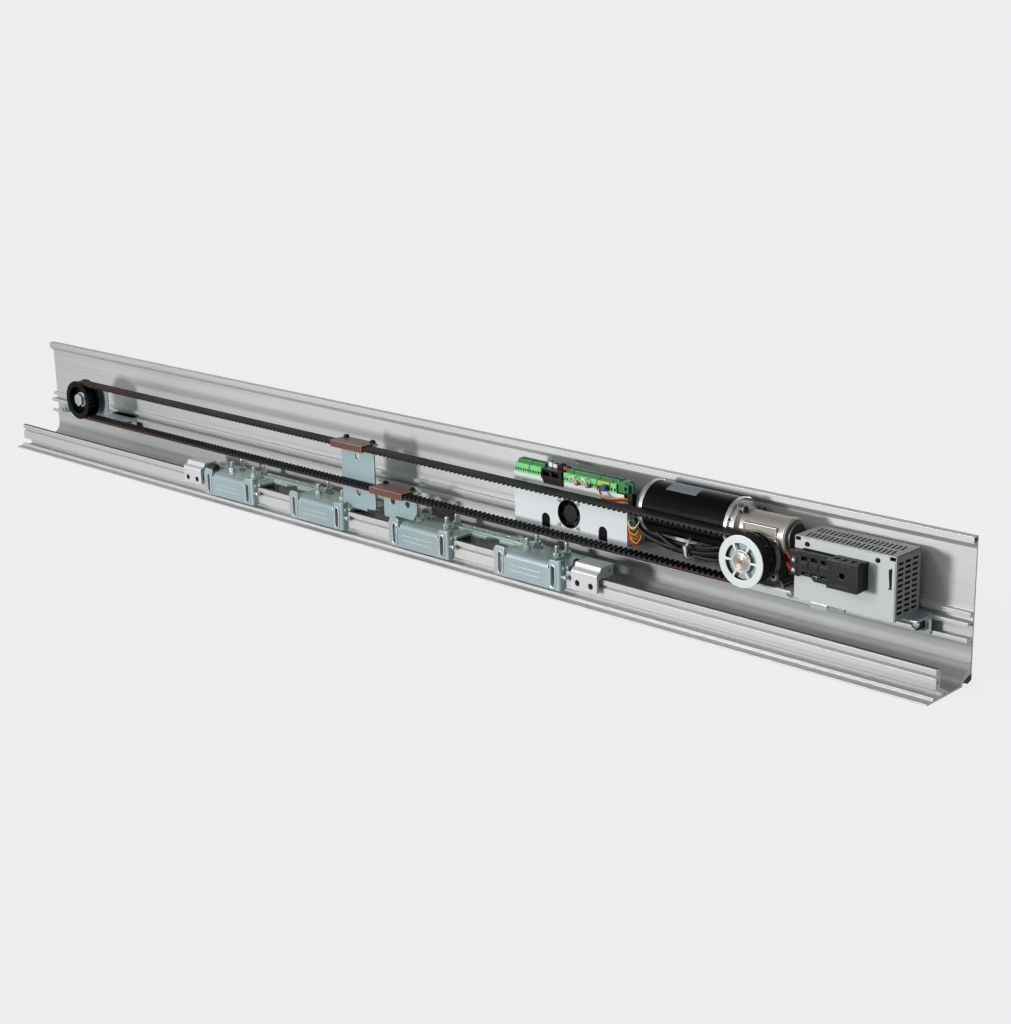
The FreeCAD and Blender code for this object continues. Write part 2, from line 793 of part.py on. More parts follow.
def gearbox_housing():
    """Cast worm housing: a barrel on the motor's line over a round gear case with four bosses."""
    barrel = rod("x", ("motor_end", "-motor_depth", "motor_z"), "worm_radius", "worm_length")
    collar = rod("x", ("motor_end", "-motor_depth", "motor_z"), "worm_radius + 4", "5")
    end_cap = rod("x", ("motor_end + worm_length", "-motor_depth", "motor_z"), "worm_radius - 5", "4")
    case = rod("y", ("drive_x", "-gear_front", "pulley_z"), "gear_radius", "gear_depth")
    nose = rod("y", ("drive_x", "-gear_front - 6", "pulley_z"), "gear_radius * 0.62", "6")
    panel = block(
        ("motor_end + 12", "motor_end + worm_length - 10"),
        ("-motor_depth - worm_radius - 1", "-motor_depth"),
        ("motor_z - 2", "motor_z + worm_radius * 0.6"))
    foot = block(
        ("drive_x - gear_radius * 0.75", "drive_x + gear_radius * 1.1"),
        ("-gear_front + 4", "-gear_rear"),
        ("shelf_top", "pulley_z - gear_radius * 0.6"))
    gland = rod("x", ("motor_end - gland_length", "-board_front - 2.5", "shelf_top + 17"), "6", "12")
    bosses = [gland]
    holes = [rod("y", ("drive_x", "-gear_front - 7", "pulley_z"), "axle_radius", "gear_depth * 0.5")]
    for side in (-1, 1):
        for level in (-1, 1):
            x = "drive_x %+d * gear_radius * 0.8" % side
            z = "pulley_z %+d * gear_radius * 0.6" % level
            bosses.append(rod("y", (x, "-gear_front - 2", z), "boss_radius", "gear_depth * 0.6"))
            holes.append(rod("y", (x, "-gear_front - 3", z), "boss_hole / 2", "12"))
    node(cut(fuse(barrel, collar, end_cap, case, nose, panel, foot, *bosses), *holes), "gearbox_housing")


# Control unit
def controller_plate():
    """Front plate of the control unit, folded back at both ends, with two cable arches."""
    front = "-control_front"
    rear = "-control_front + panel_sheet"
    centre = "control_start + control_width / 2 + 7.5"
    panel = block(("control_start", "control_end"), (front, rear),
                  ("shelf_top", "shelf_top + control_height"))
    cheeks = [
        block((x, x + " + panel_sheet"), (front, "-control_front + control_depth"),
              ("shelf_top", "shelf_top + control_height - 12"))
        for x in ("control_start", "control_end - panel_sheet")]
    arches = [
        upright_slot("%s %+g * arch_spread" % (centre, side), "shelf_top",
                     (front + " - 1", rear + " + 1"), "arch_width", "arch_height * 2")
        for side in (-0.5, 0.5)]
    bore = rod("y", ("fan_x", front + " - 1", "fan_z"), "fan_bore / 2", "panel_sheet + 2")
    node(cut(fuse(panel, *cheeks), bore, *arches), "controller_plate")


def control_span(start, end):
    """The span between two shares of the control unit's width."""
    return ("control_start + control_width * %g" % start, "control_start + control_width * %g" % end)


def controller_board():
    """Circuit board behind the plate, standing higher than it, with its relays."""
    board = block(
        ("control_start + panel_sheet + 0.5", "control_end - panel_sheet - 0.5"),
        ("-board_front", "-board_front + board_thickness"),
        ("shelf_top + 4", "shelf_top + board_top"))
    relays = [
        block(control_span(*shares), ("-board_front - 9", "-board_front"),
              ("shelf_top + 12", "shelf_top + 27"))
        for shares in RELAYS]
    driver = block(("control_end - 12", "control_end + 16"), ("-board_front - 14", "-board_front - 12.4"),
                   ("shelf_top + control_height + 1", "shelf_top + board_top"))
    link = block(("control_end - 11", "control_end - 3"), ("-board_front - 12.4", "-board_front"),
                 ("shelf_top + control_height + 3", "shelf_top + board_top - 3"))
    node(fuse(board, driver, link, *relays), "controller_board")


def terminal_blocks():
    """Plug-in terminal blocks along the top edge of the board."""
    blocks = []
    for shares in TERMINALS:
        x = control_span(*shares)
        low = "shelf_top + control_height + 0.5"
        body = block(x, ("-board_front - 18", "-board_front"), (low, "shelf_top + board_top - 1"))
        step = block(x, ("-board_front - 12", "-board_front"), (low, "shelf_top + board_top + 3"))
        blocks.append(fuse(body, step))
    node(group(*blocks), "terminal_blocks")


def data_socket():
    """Twin data socket between the terminal groups."""
    outer = block(
        control_span(*SOCKET),
        ("-board_front - 21", "-board_front"),
        ("shelf_top + control_height + 0.5", "shelf_top + board_top"))
    mouths = [
        block(control_span(*shares), ("-board_front - 22", "-board_front - 10"),
              ("shelf_top + control_height + 3", "shelf_top + board_top - 2"))
        for shares in SOCKET_MOUTHS]
    node(cut(outer, *mouths), "data_socket")


def fan():
    """Square fan behind the plate, and its seven-bladed rotor."""
    front = "-control_front + panel_sheet"
    half = "fan_size / 2"
    frame = block(
        ("fan_x - " + half, "fan_x + " + half),
        (front, front + " + fan_depth"),
        ("fan_z - " + half, "fan_z + " + half))
    bore = rod("y", ("fan_x", front + " - 1", "fan_z"), "fan_bore / 2", "fan_depth - 1")
    spindle = rod("y", ("fan_x", front + " + fan_depth - 4", "fan_z"), "1.5", "3")
    node(fuse(cut(frame, bore), spindle), "fan_frame")
    body = turned("y", [
        ("0.8", "0"),
        ("0.8", "fan_bore * 0.28"),
        ("1.6", "fan_bore * 0.3"),
        ("fan_depth - 2.4", "fan_bore * 0.3"),
        ("fan_depth - 2.4", "1.6"),
        ("fan_depth - 4.4", "1.6"),
        ("fan_depth - 4.4", "0"),
    ])
    blade = pad(body, "YZ", [
        ("1.4", "-4.6"),
        ("2.4", "-4.6"),
        ("fan_depth - 2.6", "3.6"),
        ("fan_depth - 3.6", "3.6"),
    ], "fan_bore * 0.28", "fan_bore / 2 - 1.4")
    round_pattern(body, blade, "7")
    node(body, "fan_rotor", ("fan_x", "-control_front + panel_sheet", "fan_z"))


def machine_screws():
    """Pan-head screws of the control unit, fan, gearbox and power supply."""
    screws = []
    fronts = [
        ("control_start + 18", "-control_front", "shelf_top + control_height - 9"),
        ("control_end - 12", "-control_front", "shelf_top + control_height - 9"),
        ("supply_start + 16", "-supply_front", "supply_top - 6.5"),
        ("supply_end - 22", "-supply_front", "supply_top - 6.5"),
    ]
    corner = "fan_size * 0.4"
    for side in (-1, 1):
        for level in (-1, 1):
            fronts.append(("fan_x %+d * %s" % (side, corner), "-control_front",
                           "fan_z %+d * %s" % (level, corner)))
    for x, face, z in fronts:
        screws.append(turned_head(x, face, z))
    node(group(*screws), "machine_screws")


def turned_head(x, face, z):
    """One pan-head screw seen on a front face, with its driving recess."""
    head = rod("y", (x, face + " - 2", z), "2.8", "2")
    recess = block((x + " - 2", x + " + 2"), (face + " - 2.2", face + " - 1.2"),
                   (z + " - 0.4", z + " + 0.4"))
    return cut(head, recess)


# Power supply
def psu_case():
    """Chassis of the power supply: front, floor and back in one folded sheet."""
    outer = block(("supply_start", "supply_end"), ("-supply_front", "-supply_rear"),
                  ("supply_foot", "supply_top"))
    inner = block(
        ("supply_start - 1", "supply_end + 1"),
        ("-supply_front + supply_sheet", "-supply_rear - supply_sheet"),
        ("supply_foot + supply_sheet", "supply_top + 1"))
    slot = upright_slot("supply_end - 5", "supply_foot + supply_height * 0.66",
                        ("-supply_front - 1", "-supply_front + supply_sheet + 1"), "3", "23")
    core = block(
        ("supply_start + 12", "supply_end - 12"),
        ("-supply_front + supply_sheet", "-supply_rear - 10"),
        ("supply_foot + supply_sheet", "supply_top - 18"))
    node(fuse(cut(outer, inner, slot), core), "psu_case")


def psu_cover():
    """Slotted cover over the top and both ends of the power supply."""
    skin = "supply_sheet"
    shell = cut(
        block(("supply_start - " + skin, "supply_end + " + skin), ("-supply_front + 0.6", "-supply_rear"),
              ("supply_foot", "supply_top + " + skin)),
        block(("supply_start", "supply_end"), ("-supply_front", "-supply_rear + 1"),
              ("supply_foot - 1", "supply_top")))
    vents = []
    for row in (0, 1):
        y = "-supply_front + 9 + %d * (vent_length + 6)" % row
        for step in range(20):
            x = "supply_start + 8 + %d * vent_pitch" % step
            vents.append(block((x, x + " + vent_width"), (y, y + " + vent_length"),
                               ("supply_top - 1", "supply_top + 3")))
    for column in range(3):
        y = "-supply_front + 5 + %d * (vent_length + 3)" % column
        for step in range(11):
            z = "supply_foot + 6 + %d * vent_pitch" % step
            vents.append(block(("supply_end - 1", "supply_end + 3"), (y, y + " + vent_length"),
                               (z, z + " + vent_width")))
    node(cut(shell, *vents), "psu_cover")


def mains_block():
    """Mains connector on the front of the power supply, its right half deeper."""
    low = "supply_foot + mains_rise"
    start = "supply_start + mains_inset"
    middle = start + " + mains_width"
    left = block((start, middle), ("-supply_front - mains_shallow", "-supply_front"),
                 (low, low + " + mains_height"))
    right = block((middle, middle + " + mains_width"), ("-supply_front - mains_deep", "-supply_front"),
                  (low + " + 1", low + " + mains_height + 1"))
    sockets = [
        block((middle + " + %g" % inset, middle + " + %g" % (inset + 7)),
              ("-supply_front - mains_deep - 0.5", "-supply_front - 14"), (low + " + 8", low + " + 27"))
        for inset in (5, 17, 29)]
    pins = [rod("y", (start + " + 5", "-supply_front - 15", low + " + %g" % rise), "2.6", "2.5")
            for rise in (8, 22)]
    node(cut(fuse(left, right, *pins), *sockets), "mains_block")


def psu_bracket():
    """Two angle brackets that hold the power supply in the bolt slot."""
    angles = []
    for x in (("supply_start + 3", "supply_start + 35"), ("supply_end - 20", "supply_end + 18")):
        wall = block(x, ("-slot_depth - bracket_sheet", "-slot_depth"), ("slot_bottom", "supply_foot"))
        ledge = block(x, ("-slot_depth - bracket_reach", "-slot_depth"),
                      ("supply_foot - bracket_sheet", "supply_foot"))
        angles.append(fuse(wall, ledge))
    holes = [rod("y", (x, "-slot_depth - 4", "slot_centre"), "bolt_radius + 0.3", "5") for x in SUPPLY_BOLTS]
    node(cut(group(*angles), *holes), "psu_bracket")


def slot_bolts():
    """Square-headed bolts in the wall's slot, each with its washer and nut."""
    spots = ["-profile_length / 2 + 42"]
    spots += ["idler_x %+g" % shift for shift in IDLER_BOLTS]
    spots += ["shelf_start + shelf_length * %g" % share for share in SHELF_BOLTS]
    spots += SUPPLY_BOLTS
    sheets = ["0"] + ["bracket_sheet"] * len(IDLER_BOLTS) + ["2.5"] * (len(SHELF_BOLTS) + len(SUPPLY_BOLTS))
    bolts = []
    for x, sheet_thickness in zip(spots, sheets):
        face = "-slot_depth - %s" % sheet_thickness
        washer = face + " - washer_thickness"
        nut = washer + " - slot_nut_height"
        bolts.append(fuse(
            block((x + " - 6.5", x + " + 6.5"), ("-slot_depth + slot_lip", "-slot_depth + slot_lip + 5"),
                  ("slot_centre - 7.5", "slot_centre + 7.5")),
            rod("y", (x, nut + " - 2.5", "slot_centre"), "bolt_radius",
                "-slot_depth + slot_lip - (%s) + 2.5" % nut),
            rod("y", (x, washer, "slot_centre"), "washer_radius", "washer_thickness"),
            hexagon("y", (x, nut, "slot_centre"), "nut_across", "slot_nut_height")))
    node(group(*bolts), "slot_bolts")


# Carriages
def hanger(label, start):
    """Door hanger: front plate with two rimmed slots between ears, top flange and end flange."""
    front = "-hanger_front"
    back = "-hanger_back"
    rim_front = "-hanger_front - rim_height"
    top = "hanger_foot + hanger_height"
    ear_top = top + " + hanger_ear"
    far_slot = "hanger_length - slot_inset - 16.5"
    plate = block(("0", "hanger_length - hanger_sheet"), (front, back), ("hanger_foot", top))
    flange = block(("ear_inset + ear_width + 2", "hanger_length - 25"), (back, "-rail_front + 26"),
                   ("base_top", "flange_top"))
    end = block(("hanger_length - hanger_sheet", "hanger_length"), (front, front + " + side_flange"),
                ("hanger_foot", ear_top + " + 1"))
    pieces = [plate]
    cutters = []
    level = "hanger_foot + 3.5 + hang_slot_height / 2"
    for x in ("slot_inset", far_slot):
        pieces.append(block((x + " - ear_width / 2", x + " + ear_width / 2"), (front, back), (top, ear_top)))
        pieces.append(upright_slot(x, level, (rim_front, front), "hang_slot_width + 2 * rim_width",
                                   "hang_slot_height + 2 * rim_width"))
        cutters.append(upright_slot(x, level, (rim_front + " - 1", back + " + 1"), "hang_slot_width",
                                    "hang_slot_height"))
    for x in STUD_SPOTS:
        cutters.append(rod("z", (x, FRONT_STUDS, "base_top - 1"), "stud_radius + 0.2", "hanger_sheet + 2"))
    node(cut(group(fuse(*pieces), flange, end), *cutters), label, (start, "0", "0"))


def base_plate(label, start):
    """Carriage plate over the rail, with tapered ends and a leg folded down behind the rail."""
    wide_front = "-hanger_back + 1"
    tip_front = "-base_rear - tip_depth"
    notch = "hanger_length - hanger_sheet - 1"
    plate = prism("XY", [
        ("0", wide_front),
        (notch, wide_front),
        (notch, "-hanger_front + side_flange + 1"),
        ("hanger_length", "-hanger_front + side_flange + 1"),
        ("hanger_length", tip_front),
        ("hanger_length + base_tip * 0.8", tip_front),
        ("hanger_length + base_tip", tip_front + " + tip_depth * 0.35"),
        ("hanger_length + base_tip", "-base_rear"),
        ("-base_tip", "-base_rear"),
        ("-base_tip", tip_front + " + tip_depth * 0.35"),
        ("-base_tip * 0.8", tip_front),
        ("0", tip_front),
    ], "base_foot", "base_top")
    leg_back = "-roller_y - roller_width / 2 - 3"
    leg = prism("XZ", [
        ("0", "base_foot"),
        ("0", "roller_z - 8"),
        ("roller_inset * 2", "roller_z - 8"),
        ("roller_inset * 2 + 8", "roller_z + 10"),
        ("hanger_length - roller_inset * 2 - 8", "roller_z + 10"),
        ("hanger_length - roller_inset * 2", "roller_z - 8"),
        ("hanger_length", "roller_z - 8"),
        ("hanger_length", "base_foot"),
    ], leg_back + " - 3", leg_back)
    holes = [rod("z", (x, y, "base_foot - 1"), "stud_radius", "base_sheet + 2")
             for x in STUD_SPOTS for y in (FRONT_STUDS, REAR_STUDS)]
    holes += [rod("z", (x, "-base_rear - tip_depth / 2", "base_foot - 1"), "stud_radius", "base_sheet + 2")
              for x in ("-base_tip / 2", "hanger_length + base_tip / 2")]
    holes += [rod("y", (x, leg_back + " - 4", "roller_z"), "pin_radius", "5")
              for x in ("roller_inset", "hanger_length - roller_inset")]
    node(cut(group(plate, leg), *holes), label, (start, "0", "0"))


def axle_pins(label, starts):
    """Shouldered roller pins riveted into the legs of two base plates."""
    leg_back = "-roller_y - roller_width / 2 - 3"
    pins = []
    for start in starts:
        for x in ("roller_inset", "hanger_length - roller_inset"):
            spot = "%s + %s" % (start, x)
            pins.append(fuse(
                rod("y", (spot, leg_back + " - 3", "roller_z"), "pin_radius - 0.02", "roller_width + 6.5"),
                rod("y", (spot, leg_back, "roller_z"), "pin_radius + 2.5", "2.7"),
                rod("y", (spot, "-roller_y + roller_width / 2 + 0.3", "roller_z"), "pin_radius + 2", "1.5")))
    node(group(*pins), label)


def roller(label, spot):
    """Track roller with a domed tread and a bushed bore."""
    half = "roller_width / 2"
    body = turned("y", [
        ("-" + half, "pin_radius + 0.04"),
        ("-" + half, "roller_radius * 0.5"),
        ("-%s + 2" % half, "roller_radius * 0.55"),
        ("-%s + 2" % half, "roller_radius * 0.8"),
        ("-" + half, "roller_radius * 0.85"),
        ("-%s + 1.5" % half, "roller_radius"),
        (half + " - 1.5", "roller_radius"),
        (half, "roller_radius * 0.85"),
        (half + " - 2", "roller_radius * 0.8"),
        (half + " - 2", "roller_radius * 0.55"),
        (half, "roller_radius * 0.5"),
        (half, "pin_radius + 0.04"),
    ])
    node(body, label, (spot, "-roller_y", "roller_z"))


def link_bar(label, first, second):
    """Perforated bar that ties the two carriages of one leaf together."""
    start = "%s + %s - link_overhang" % (first, STUD_SPOTS[1])
    end = "%s + %s + link_overhang" % (second, STUD_SPOTS[0])
    y = ("%s - link_width / 2" % REAR_STUDS, "%s + link_width / 2" % REAR_STUDS)
    bar = block((start, end), y, ("base_top", "flange_top"))
    spots = [start + " + link_overhang", end + " - link_overhang"]
    holes = [rod("z", (x, REAR_STUDS, "base_top - 1"), "stud_radius + 0.2", "hanger_sheet + 2")
             for x in spots]
    for step in range(1, 8):
        x = "%s + (%s - (%s)) * %g" % (start, end, start, step / 8)
        holes.append(rod("z", (x, REAR_STUDS, "base_top - 1"), "stud_radius * 0.9", "hanger_sheet + 2"))
    node(cut(bar, *holes), label)


def leaf_bolts(label, starts, clamp_start, seat):
    """Clinch studs of two base plates with their nuts, and the cap screws of the belt clamp."""
    bolts = []
    for index, start in enumerate(starts):
        for place, x in enumerate(STUD_SPOTS):
            spot = "%s + %s" % (start, x)
            bolts.append(stud(spot, FRONT_STUDS, "flange_top"))
            linked = place != index
            bolts.append(stud(spot, REAR_STUDS, "flange_top" if linked else "base_top"))
    for x in CLAMP_BOLTS:
        spot = "%s + %s" % (clamp_start, x)
        head = rod("z", (spot, "-clamp_rear - 4", seat), "4", "3.5")
        shank = rod("z", (spot, "-clamp_rear - 4", seat + " - 7"), "2.55", "7")
        bolts.append(fuse(head, shank))
    node(group(*bolts), label)


def stud(x, y, seat):
    """A stud from the underside of its base plate with a hexagon nut on the seat."""
    shank = rod("z", (x, y, "base_foot"), "stud_radius - 0.02", "base_sheet + stud_height")
    nut = hexagon("z", (x, y, seat), "stud_radius * 3.33", "nut_height")
    return fuse(shank, nut)


def belt_plate(label, start, width, top, foot, clamp_start, holes):
    """Upright plate from the carriage to the belt, with a folded foot and a folded head."""
    front = "-belt_plate_front"
    rear = "-belt_plate_rear"
    end = "%s + %s" % (start, width)
    head = "%s - belt_plate_sheet" % top
    upright = block((start, end), (front, rear), ("flange_top + 3", top))
    tongue = block(foot, (front, rear), ("base_top", "flange_top + 3"))
    sole = block(foot, (rear, "-base_rear - 2"), ("base_top", "flange_top"))
    shelf = block((clamp_start, end), (rear, "-clamp_rear"), (head, top))
    cutters = [rod("y", ("%s + %s * %g" % (start, width, share), front + " - 1", z), "5",
                   "belt_plate_sheet + 2") for share, z in holes]
    for x in CLAMP_BOLTS:
        cutters.append(rod("z", ("%s + %s" % (clamp_start, x), "-clamp_rear - 4", head + " - 1"), "2.6",
                           "belt_plate_sheet + 2"))
    node(cut(group(fuse(upright, tongue), sole, shelf), *cutters), label)


def belt_clamp(label, start, low, high):
    """Folded channel that grips the belt and is bolted to the head of the belt plate."""
    front = "-belt_front - clamp_gap - clamp_skin"
    inner = "-belt_front - clamp_gap"
    end = "%s + clamp_length" % start
    top = "%s + clamp_gap + clamp_skin" % high
    web = block((start, end), (front, inner), ("%s - clamp_gap - clamp_skin" % low, top))
    jaw = block((start, end), (inner, "-belt_rear"),
                ("%s - clamp_gap - clamp_skin" % low, "%s - clamp_gap" % low))
    roof = block((start, end), (inner, "-clamp_rear"), ("%s + clamp_gap" % high, top))
    holes = [rod("z", ("%s + %s" % (start, x), "-clamp_rear - 4", high), "2.6", "clamp_skin + 3")
             for x in CLAMP_BOLTS]
    node(cut(fuse(web, jaw, roof), *holes), label)


# End stops
def end_stop(label, start, buffer_side):
    """Block over the rail with a front leg, clamped to the rail's groove by two screws."""
    end = "%s + stop_length" % start
    saddle = "rail_crown + 0.3"
    leg_back = "-hanger_back + 1.5"
    leg_front = leg_back + " - stop_leg"
    head = prism("YZ", [
        ("-stop_rear", saddle),
        ("-stop_rear", "%s + stop_height" % saddle),
        ("-rail_front - 1", "%s + stop_height" % saddle),
        (leg_front, "%s + 3.5" % saddle),
        (leg_front, saddle),
    ], start, end)
    leg = block((start, end), (leg_front, leg_back), ("groove_level - 7.5", saddle))
    middle = "%s + stop_length / 2" % start
    spots = [middle + " %+g * stop_screw_pitch" % side for side in (-0.5, 0.5)]
    bores = [rod("y", (x, leg_front + " - 1", "groove_level"), "stop_screw + 0.02", "stop_leg + 2")
             for x in spots]
    side_bore = rod("x", (start + " - 1", "-stop_rear - 6", saddle + " + 8"), "2.5", "stop_length + 2")
    node(cut(group(head, leg), side_bore, *bores), label)
    screws = []
    for x in spots:
        barrel = rod("y", (x, leg_front + " - 0.4", "groove_level"), "stop_screw",
                     "-rail_front - 0.3 - (%s) + 0.4" % leg_front)
        socket = hexagon("y", (x, leg_front + " - 0.5", "groove_level"), "stop_screw", "2.5")
        screws.append(cut(barrel, socket))
    node(group(*screws), label + "_screws")
    first = start + " - stop_gap + 0.5" if buffer_side < 0 else end
    pad_spot = (first, "-rail_front + 12", saddle + " + buffer_radius + 1")
    node(group(rod("x", pad_spot, "buffer_radius", "stop_gap - 0.5")), label + "_buffer")


# Cables
def rounded_route(points):
    """A path of straight runs joined by the largest tangent arcs that both runs allow."""
    edges = []
    radii = []
    here = points[0]
    for before, corner, after in zip(points, points[1:], points[2:]):
        back = before - corner
        ahead = after - corner
        turn = math.pi - back.getAngle(ahead)
        tangent = 0.45 * min(back.Length, ahead.Length)
        radius = tangent / math.tan(turn / 2)
        back.normalize()
        ahead.normalize()
        start = corner + back * tangent
        end = corner + ahead * tangent
        inward = back + ahead
        inward.normalize()
        centre = corner + inward * (radius / math.cos(turn / 2))
        middle = centre - inward * radius
        edges.append(Part.makeLine(here, start))
        edges.append(Part.Arc(start, middle, end).toShape())
        radii.append(round(radius, 1))
        here = end
    edges.append(Part.makeLine(here, points[-1]))
    return Part.Wire(edges), radii


def cable(points, radius):
    """A round cable along a rounded route."""
    path, radii = rounded_route(points)
    start = points[0]
    ahead = points[1] - points[0]
    section = Part.Wire([Part.makeCircle(radius, start, ahead)])
    solid = path.makePipeShell([section], True, False)
    expected = math.pi * radius ** 2 * path.Length
    print("cable radius", radius, "bends", radii, "volume ratio", round(solid.Volume / expected, 4))
    return solid


def cables():
    """Motor cable from the control unit to the gearbox's gland, and the power supply's leads."""
    depth = -number("board_front") - 2.5
    base = number("shelf_top")
    control_end = number("control_end")
    reach = number("motor_end - gland_length") - 0.1 - control_end
    harness = [Vector(control_end + share * reach, depth + y, base + z) for share, y, z in (
        (0.03, 0, 36), (0.096, -2, 29), (0.193, -5, 19), (0.325, -6, 13),
        (0.5, -6, 11), (0.67, -4, 11), (0.85, 0, 17), (1, 0, 17))]
    bundle = doc.addObject("Part::Feature", "Bundle")
    bundle.Shape = cable(harness, 5)
    node(bundle, "harness")
    front = -number("supply_front")
    supply = number("supply_start")
    level = number("supply_foot")
    leads = []
    for drop in (0, 12):
        route = [Vector(supply + x, front + y, level + z - drop) for x, y, z in (
            (-13, 4, 50), (-10, 0, 51), (-6, -4, 50), (-2, -6, 47), (1, -6, 43))]
        leads.append(cable(route, 1.5))
    pair = doc.addObject("Part::Feature", "Leads")
    pair.Shape = Part.makeCompound(leads)
    node(pair, "power_leads")


def build():
    """Make every sub-part."""
    carrier_profile()
    base_seal()
    rail_strip()
    drive_belt()
    drive_pulley()
    idler_pulley()
    idler_bracket()
    module_shelf()
    motor()
    gearbox_housing()
    controller_plate()
    controller_board()
    terminal_blocks()
    data_socket()
    fan()
    machine_screws()
    psu_case()
    psu_cover()
    mains_block()
    psu_bracket()
    slot_bolts()
    starts = ("hanger_one", "hanger_two", "hanger_three", "hanger_four")
    for index, start in enumerate(starts, 1):
        hanger("hanger_%d" % index, start)
        base_plate("base_plate_%d" % index, start)
        for side, x in enumerate(("roller_inset", "hanger_length - roller_inset")):
            roller("roller_%d" % (2 * index - 1 + side), "%s + %s" % (start, x))
    for side, pair in (("left", starts[:2]), ("right", starts[2:])):
        axle_pins("axle_pins_" + side, pair)
        link_bar("link_bar_" + side, *pair)
    upper = ("pulley_z + belt_inner", "pulley_z + belt_outer")
    lower = ("pulley_z - belt_outer", "pulley_z - belt_inner")
    tall_start = "tall_plate_end - tall_plate_width"
    tall_top = upper[1] + " + clamp_gap"
    short_top = lower[1] + " + clamp_gap"
    hole_level = "flange_top + 23"
    short_clamp = "short_plate_start - 8"
    belt_plate("belt_plate_tall", tall_start, "tall_plate_width", tall_top,
               ("left_edge + 2", "left_edge + base_tip - 2"), tall_start,
               [(0.49, hole_level), (0.49, tall_top + " - 21")])
    belt_plate("belt_plate_short", "short_plate_start", "short_plate_width", short_top,
               ("short_plate_start", "right_edge - 2"), short_clamp,
               [(0.27, hole_level), (0.72, hole_level)])
    belt_clamp("belt_clamp_upper", tall_start, *upper)
    belt_clamp("belt_clamp_lower", short_clamp, *lower)
    leaf_bolts("leaf_bolts_left", starts[:2], tall_start, tall_top + " + clamp_skin")
    leaf_bolts("leaf_bolts_right", starts[2:], short_clamp, short_top + " + clamp_skin")
    end_stop("stop_left", "left_stop_x", 1)
    end_stop("stop_right", "right_stop_x", -1)
    cables()


def check():
    """Stop unless every object is solved and every sub-part is a valid shape."""
    for thing in doc.Objects:
        if "Invalid" in thing.State or "Error" in thing.State:
            raise RuntimeError("%s %s is not solved: %s" % (thing.Name, thing.Label, thing.State))
    for label, thing in nodes.items():
        if thing.Shape.isNull() or not thing.Shape.isValid() or not thing.Shape.Solids:
            raise RuntimeError("%s has no valid shape" % label)


build()
doc.recompute()
check()
os.makedirs("parts", exist_ok=True)
for label, thing in nodes.items():
    thing.Shape.exportStep("parts/%s.step" % label)
print(len(nodes), "sub-parts written")
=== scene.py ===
"""Sliding door operator: every piece is drawn in millimetres of its carrier profile and dressed."""
import logging
import math
from dataclasses import dataclass, field
from enum import Enum
from typing import Callable, Iterator, Sequence

import bmesh
import bpy
from mathutils import Matrix, Vector


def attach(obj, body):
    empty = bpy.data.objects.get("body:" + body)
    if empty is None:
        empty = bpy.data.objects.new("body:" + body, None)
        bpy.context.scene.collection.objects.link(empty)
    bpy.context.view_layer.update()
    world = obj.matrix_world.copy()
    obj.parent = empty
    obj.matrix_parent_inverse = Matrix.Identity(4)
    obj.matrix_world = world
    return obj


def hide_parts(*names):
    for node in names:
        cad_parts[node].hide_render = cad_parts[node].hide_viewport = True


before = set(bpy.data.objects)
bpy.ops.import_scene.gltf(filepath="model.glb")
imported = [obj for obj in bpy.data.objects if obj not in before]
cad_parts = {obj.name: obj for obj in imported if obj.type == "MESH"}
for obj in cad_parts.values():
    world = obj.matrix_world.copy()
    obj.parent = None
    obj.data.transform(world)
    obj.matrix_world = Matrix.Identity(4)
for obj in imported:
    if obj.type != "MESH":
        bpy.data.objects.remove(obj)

Mesh = bmesh.types.BMesh
Socket = bpy.types.NodeSocket
Pair = tuple[float, float]
Triple = tuple[float, float, float]

log = logging.getLogger("operator")
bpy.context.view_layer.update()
MILLIMETRE = 0.001
WALL_FACE, MID_HEIGHT = 2.5, 90.0
TO_PART = Matrix.Scale(MILLIMETRE, 4) @ Matrix.Translation((0.0, -WALL_FACE, -MID_HEIGHT))


# Shared levels and places of the operator, in profile millimetres
@dataclass(frozen=True)
class Layout:
    """Places that more than one sub-assembly is built to."""

    half_length: float = 888.5
    slot_face: float = -11.5
    slot_low: float = 49.4
    slot_mid: float = 60.9
    slot_high: float = 72.4
    shaft_level: float = 111.0
    idler_x: float = -686.0
    drive_x: float = 642.0
    belt_front: float = -87.6
    belt_rear: float = -72.6
    plate_top: float = 42.0
    flange_top: float = 45.0
    front_studs: float = -54.8
    rear_studs: float = -36.0
    stud_spots: Pair = (30.68, 82.6)


AT = Layout()


class Plane(Enum):
    """The two axes that an outline is drawn on; a piece is thickened along the third."""

    XY = ((1, 0, 0), (0, 1, 0), (0, 0, 1))
    XZ = ((1, 0, 0), (0, 0, 1), (0, 1, 0))
    YZ = ((0, 1, 0), (0, 0, 1), (1, 0, 0))

    def matrix(self) -> Matrix:
        """Give the turn from the outline's own axes to the profile's."""
        return Matrix(self.value).transposed().to_4x4()


XY, XZ, YZ = Plane


# Shaders
def tone(code: str) -> tuple[float, float, float, float]:
    """Turn a paint code into the linear colour that a shader needs, by the sRGB curve.

    Args:
        code: six hexadecimal digits, red first.

    Returns:
        Linear red, green and blue, and full alpha.
    """
    shares = [int(code[place:place + 2], 16) / 255 for place in (0, 2, 4)]
    linear = [share / 12.92 if share <= 0.04045 else ((share + 0.055) / 1.055) ** 2.4 for share in shares]
    return (*linear, 1.0)


